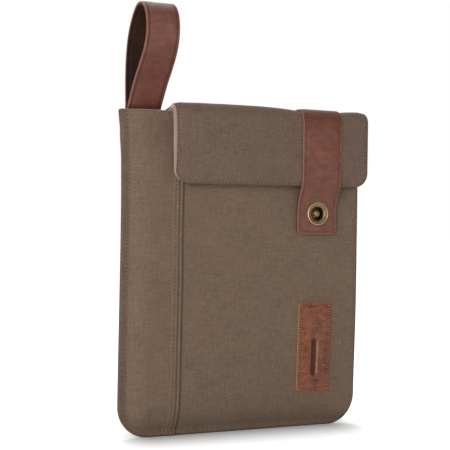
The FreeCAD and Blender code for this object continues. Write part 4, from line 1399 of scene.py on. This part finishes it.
LOOP_LINE = Profile(
    flowing(
        [
            (6.6, 251.0), (5.4, 256.8), (2.4, 263.0), (-3.6, 270.2), (-15.2, 282.6),
            (-28.8, 293.8), (-40.2, 303.8), (-46.6, 313.8), (-47.0, 324.4),
            (-42.8, 333.4), (-34.4, 339.4), (-24.0, 340.7), (-14.8, 337.0),
            (-7.0, 330.4), (-1.2, 323.4), (3.0, 315.4), (6.4, 302.0), (7.4, 287.0),
            (6.6, 272.0), (6.2, 263.0), (6.8, 257.0), (7.4, 251.0),
        ]
    )
)
LOOP = Plate(LOOP_LOW[0], LOOP_HIGH[0], LOOP_LINE.length, 0.0, False, False)


def loop_relief(x, s):
    """The loop leather's sewn grooves and soft ripples."""
    d = LOOP.depth(x, s)
    groove = -0.24 * hump(d, EDGE_INSET, 0.75)
    soft = 0.25 * wander(x / 14.0, s / 21.0, 41) * smooth(0, 6, d)
    return groove + soft - 0.2 * smooth(5, 0, d)


def loop_point(x, s, h):
    """A point of the loop, which narrows slightly where it turns over."""
    share = (x - LOOP.x0) / (LOOP.x1 - LOOP.x0)
    return LOOP_LINE.point(x - 1.7 * smooth(284, 318, LOOP_LINE.height(s)) * share, s, h)


def loop_surface(x, s, h):
    """The loop's outer face."""
    return loop_point(x, s, LEATHER + loop_relief(x, s) + h)


def loop_layer(name, low, high, material, node, sign):
    """One of the loop's two layers, burnished most at its crown and towards its root."""
    x, s = LOOP.grid(STRAP_STEP, fine=0.7, band=STRAP_BAND)
    d, z = LOOP.depth(x, s), LOOP_LINE.height(s)
    round_off = rounding(d, 0.6)
    middle, half = (low + high) / 2, (high - low) / 2 * round_off
    relief = loop_relief(x, s) * round_off
    outer = loop_point(x, s, middle + half + (relief if sign > 0 else 0))
    inner = loop_point(x, s, middle - half - (relief if sign < 0 else 0))
    burnish = np.maximum(0.9 * smooth(330, 342, z), 0.7 * smooth(332, 290, z))
    piece = shell(name, outer, inner, material, (x + 200, s), (s, d), fold=burnish)
    settle(piece, [node], LOOP_FOLD)


def loop_stitches():
    """A row along each edge of the loop."""
    bare = 14.0
    count = int((LOOP_LINE.length - 2 * bare) / LEATHER_PITCH)
    first = np.floor(bare / LEATHER_PITCH) + 0.5
    s = strokes((first + np.arange(count)) * LEATHER_PITCH, LEATHER_STITCH)
    rows = [
        on_surface(loop_surface, np.full_like(s, x), s)
        for x in (LOOP.x0 + EDGE_INSET, LOOP.x1 - EDGE_INSET)
    ]
    stitches(
        "loop_stitches", joined(*rows), DARK_THREAD, ["handle_thread"],
        LOOP_FOLD, LEATHER_THREAD, lift=0.08, sink=0.5,
    )


loop_layer("loop_outer", 0.02, LEATHER, LEATHER_LOOP, "handle_outer", 1)
# The loop's inner layer is darkened with painted shade.
loop_layer("loop_inner", -LEATHER, -0.02, LEATHER_UNDERSIDE_PAINTED_SHADE, "handle_inner", -1)
loop_stitches()


# ---------------------------------------------------------------- CAD parts that stay

for node, material in {
    "handle_anchor": LEATHER_UNDERSIDE_PAINTED_SHADE,
    "snap_post": BRASS_DARK,
    "snap_reinforcement": LEATHER_UNDERSIDE_PAINTED_SHADE,
    "snap_socket": BRASS_DARK,
    "snap_spring": STEEL,
}.items():
    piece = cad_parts[node]
    for spot in piece.material_slots:
        spot.material = material
    if not piece.material_slots:
        piece.data.materials.append(material)


# ---------------------------------------------------------------- stage, light and camera

def stage():
    """A pale floor with a painted contact shadow darkening it under the sleeve, that runs off
    into white.
    """
    half = 6.0
    corners = [(-half, -half, 0), (half, -half, 0), (half, half, 0), (-half, half, 0)]
    mesh = bpy.data.meshes.new("floor")
    mesh.from_pydata(corners, [], [(0, 1, 2, 3)])
    s = Shader("floor", 0.9, Specular_IOR_Level=0.1, Emission_Strength=0.45)
    place = s.node("TexCoord", out=3)
    across, ahead = (
        s.math("MAXIMUM", s.sub(s.span(part), reach * MM), 0.0)
        for part, reach in zip(s.split(place), (HALF - 29, 3))
    )
    # Painted contact shadow: low at the sleeve's foot, 1 on open floor; it scales both the
    # floor's colour and its glow.
    clear_of_painted_shadow = s.ramp(s.reach(across, ahead), -0.016, 0.052)
    cloud = s.noise(place, 0.6, 2.0, 0.5)
    shade = s.mix(cloud, (0.8, 0.8, 0.8, 1), (0.84, 0.84, 0.84, 1))
    shade = s.gain(shade, s.add(0.25, s.mul(clear_of_painted_shadow, 0.75)))
    s.put(s.bsdf.inputs["Emission Color"], shade)
    mesh.materials.append(s.finish(shade))
    floor = bpy.data.objects.new("floor", mesh)
    bpy.context.scene.collection.objects.link(floor)


def sky():
    """White behind the sleeve, and dimmer on the side it faces, where the lamps stand."""
    world = bpy.data.worlds.new("world")
    world.use_nodes = True
    tree = world.node_tree
    place = tree.nodes.new("ShaderNodeTexCoord")
    parts = tree.nodes.new("ShaderNodeSeparateXYZ")
    level = tree.nodes.new("ShaderNodeMapRange")
    level.interpolation_type = "SMOOTHSTEP"
    for socket, value in (
        ("From Min", -0.35), ("From Max", 0.15), ("To Min", 0.6), ("To Max", 1.0)
    ):
        level.inputs[socket].default_value = value
    tree.links.new(place.outputs["Generated"], parts.inputs[0])
    tree.links.new(parts.outputs[1], level.inputs["Value"])
    tree.links.new(level.outputs["Result"], tree.nodes["Background"].inputs["Strength"])
    tree.nodes["Background"].inputs["Color"].default_value = (1, 1, 1, 1)
    bpy.context.scene.world = world


def lamp(name, place, target, size, power):
    """A soft square light."""
    light = bpy.data.lights.new(name, "AREA")
    light.size, light.energy = size, power
    piece = bpy.data.objects.new(name, light)
    piece.location = place
    aim = Vector(target) - Vector(place)
    piece.rotation_euler = aim.to_track_quat("-Z", "Y").to_euler()
    bpy.context.scene.collection.objects.link(piece)


def camera():
    """The photo's view: from a little left of the front, nearly level."""
    turn, dip, roll = (math.radians(angle) for angle in (22.0, -0.77, 0.73))
    level = math.cos(dip)
    forward = Vector((math.sin(turn) * level, math.cos(turn) * level, math.sin(dip)))
    right = Vector((math.cos(turn), -math.sin(turn), 0))
    up = right.cross(forward)
    across = right * math.cos(roll) + up * math.sin(roll)
    above = up * math.cos(roll) - right * math.sin(roll)
    lens = bpy.data.cameras.new("camera")
    lens.lens, lens.sensor_width, lens.clip_start = 80.08, 36.0, 0.01
    eye = bpy.data.objects.new("camera", lens)
    turned = Matrix((across, above, -forward)).transposed().to_4x4()
    eye.matrix_world = Matrix.Translation(Vector((-0.326, -0.766, 0.182))) @ turned
    bpy.context.scene.collection.objects.link(eye)
    bpy.context.scene.camera = eye


stage()
sky()
lamp("key", (-0.75, -0.8, 0.42), (0, 0, 0.14), 0.5, 10.6)
lamp("fill", (0.6, -2.0, 0.8), (0, 0, 0.14), 1.4, 2.5)
lamp("back", (0.15, 0.8, 1.2), (0, 0, 0.05), 0.7, 8)
camera()
bpy.context.scene.view_settings.view_transform = "Standard"
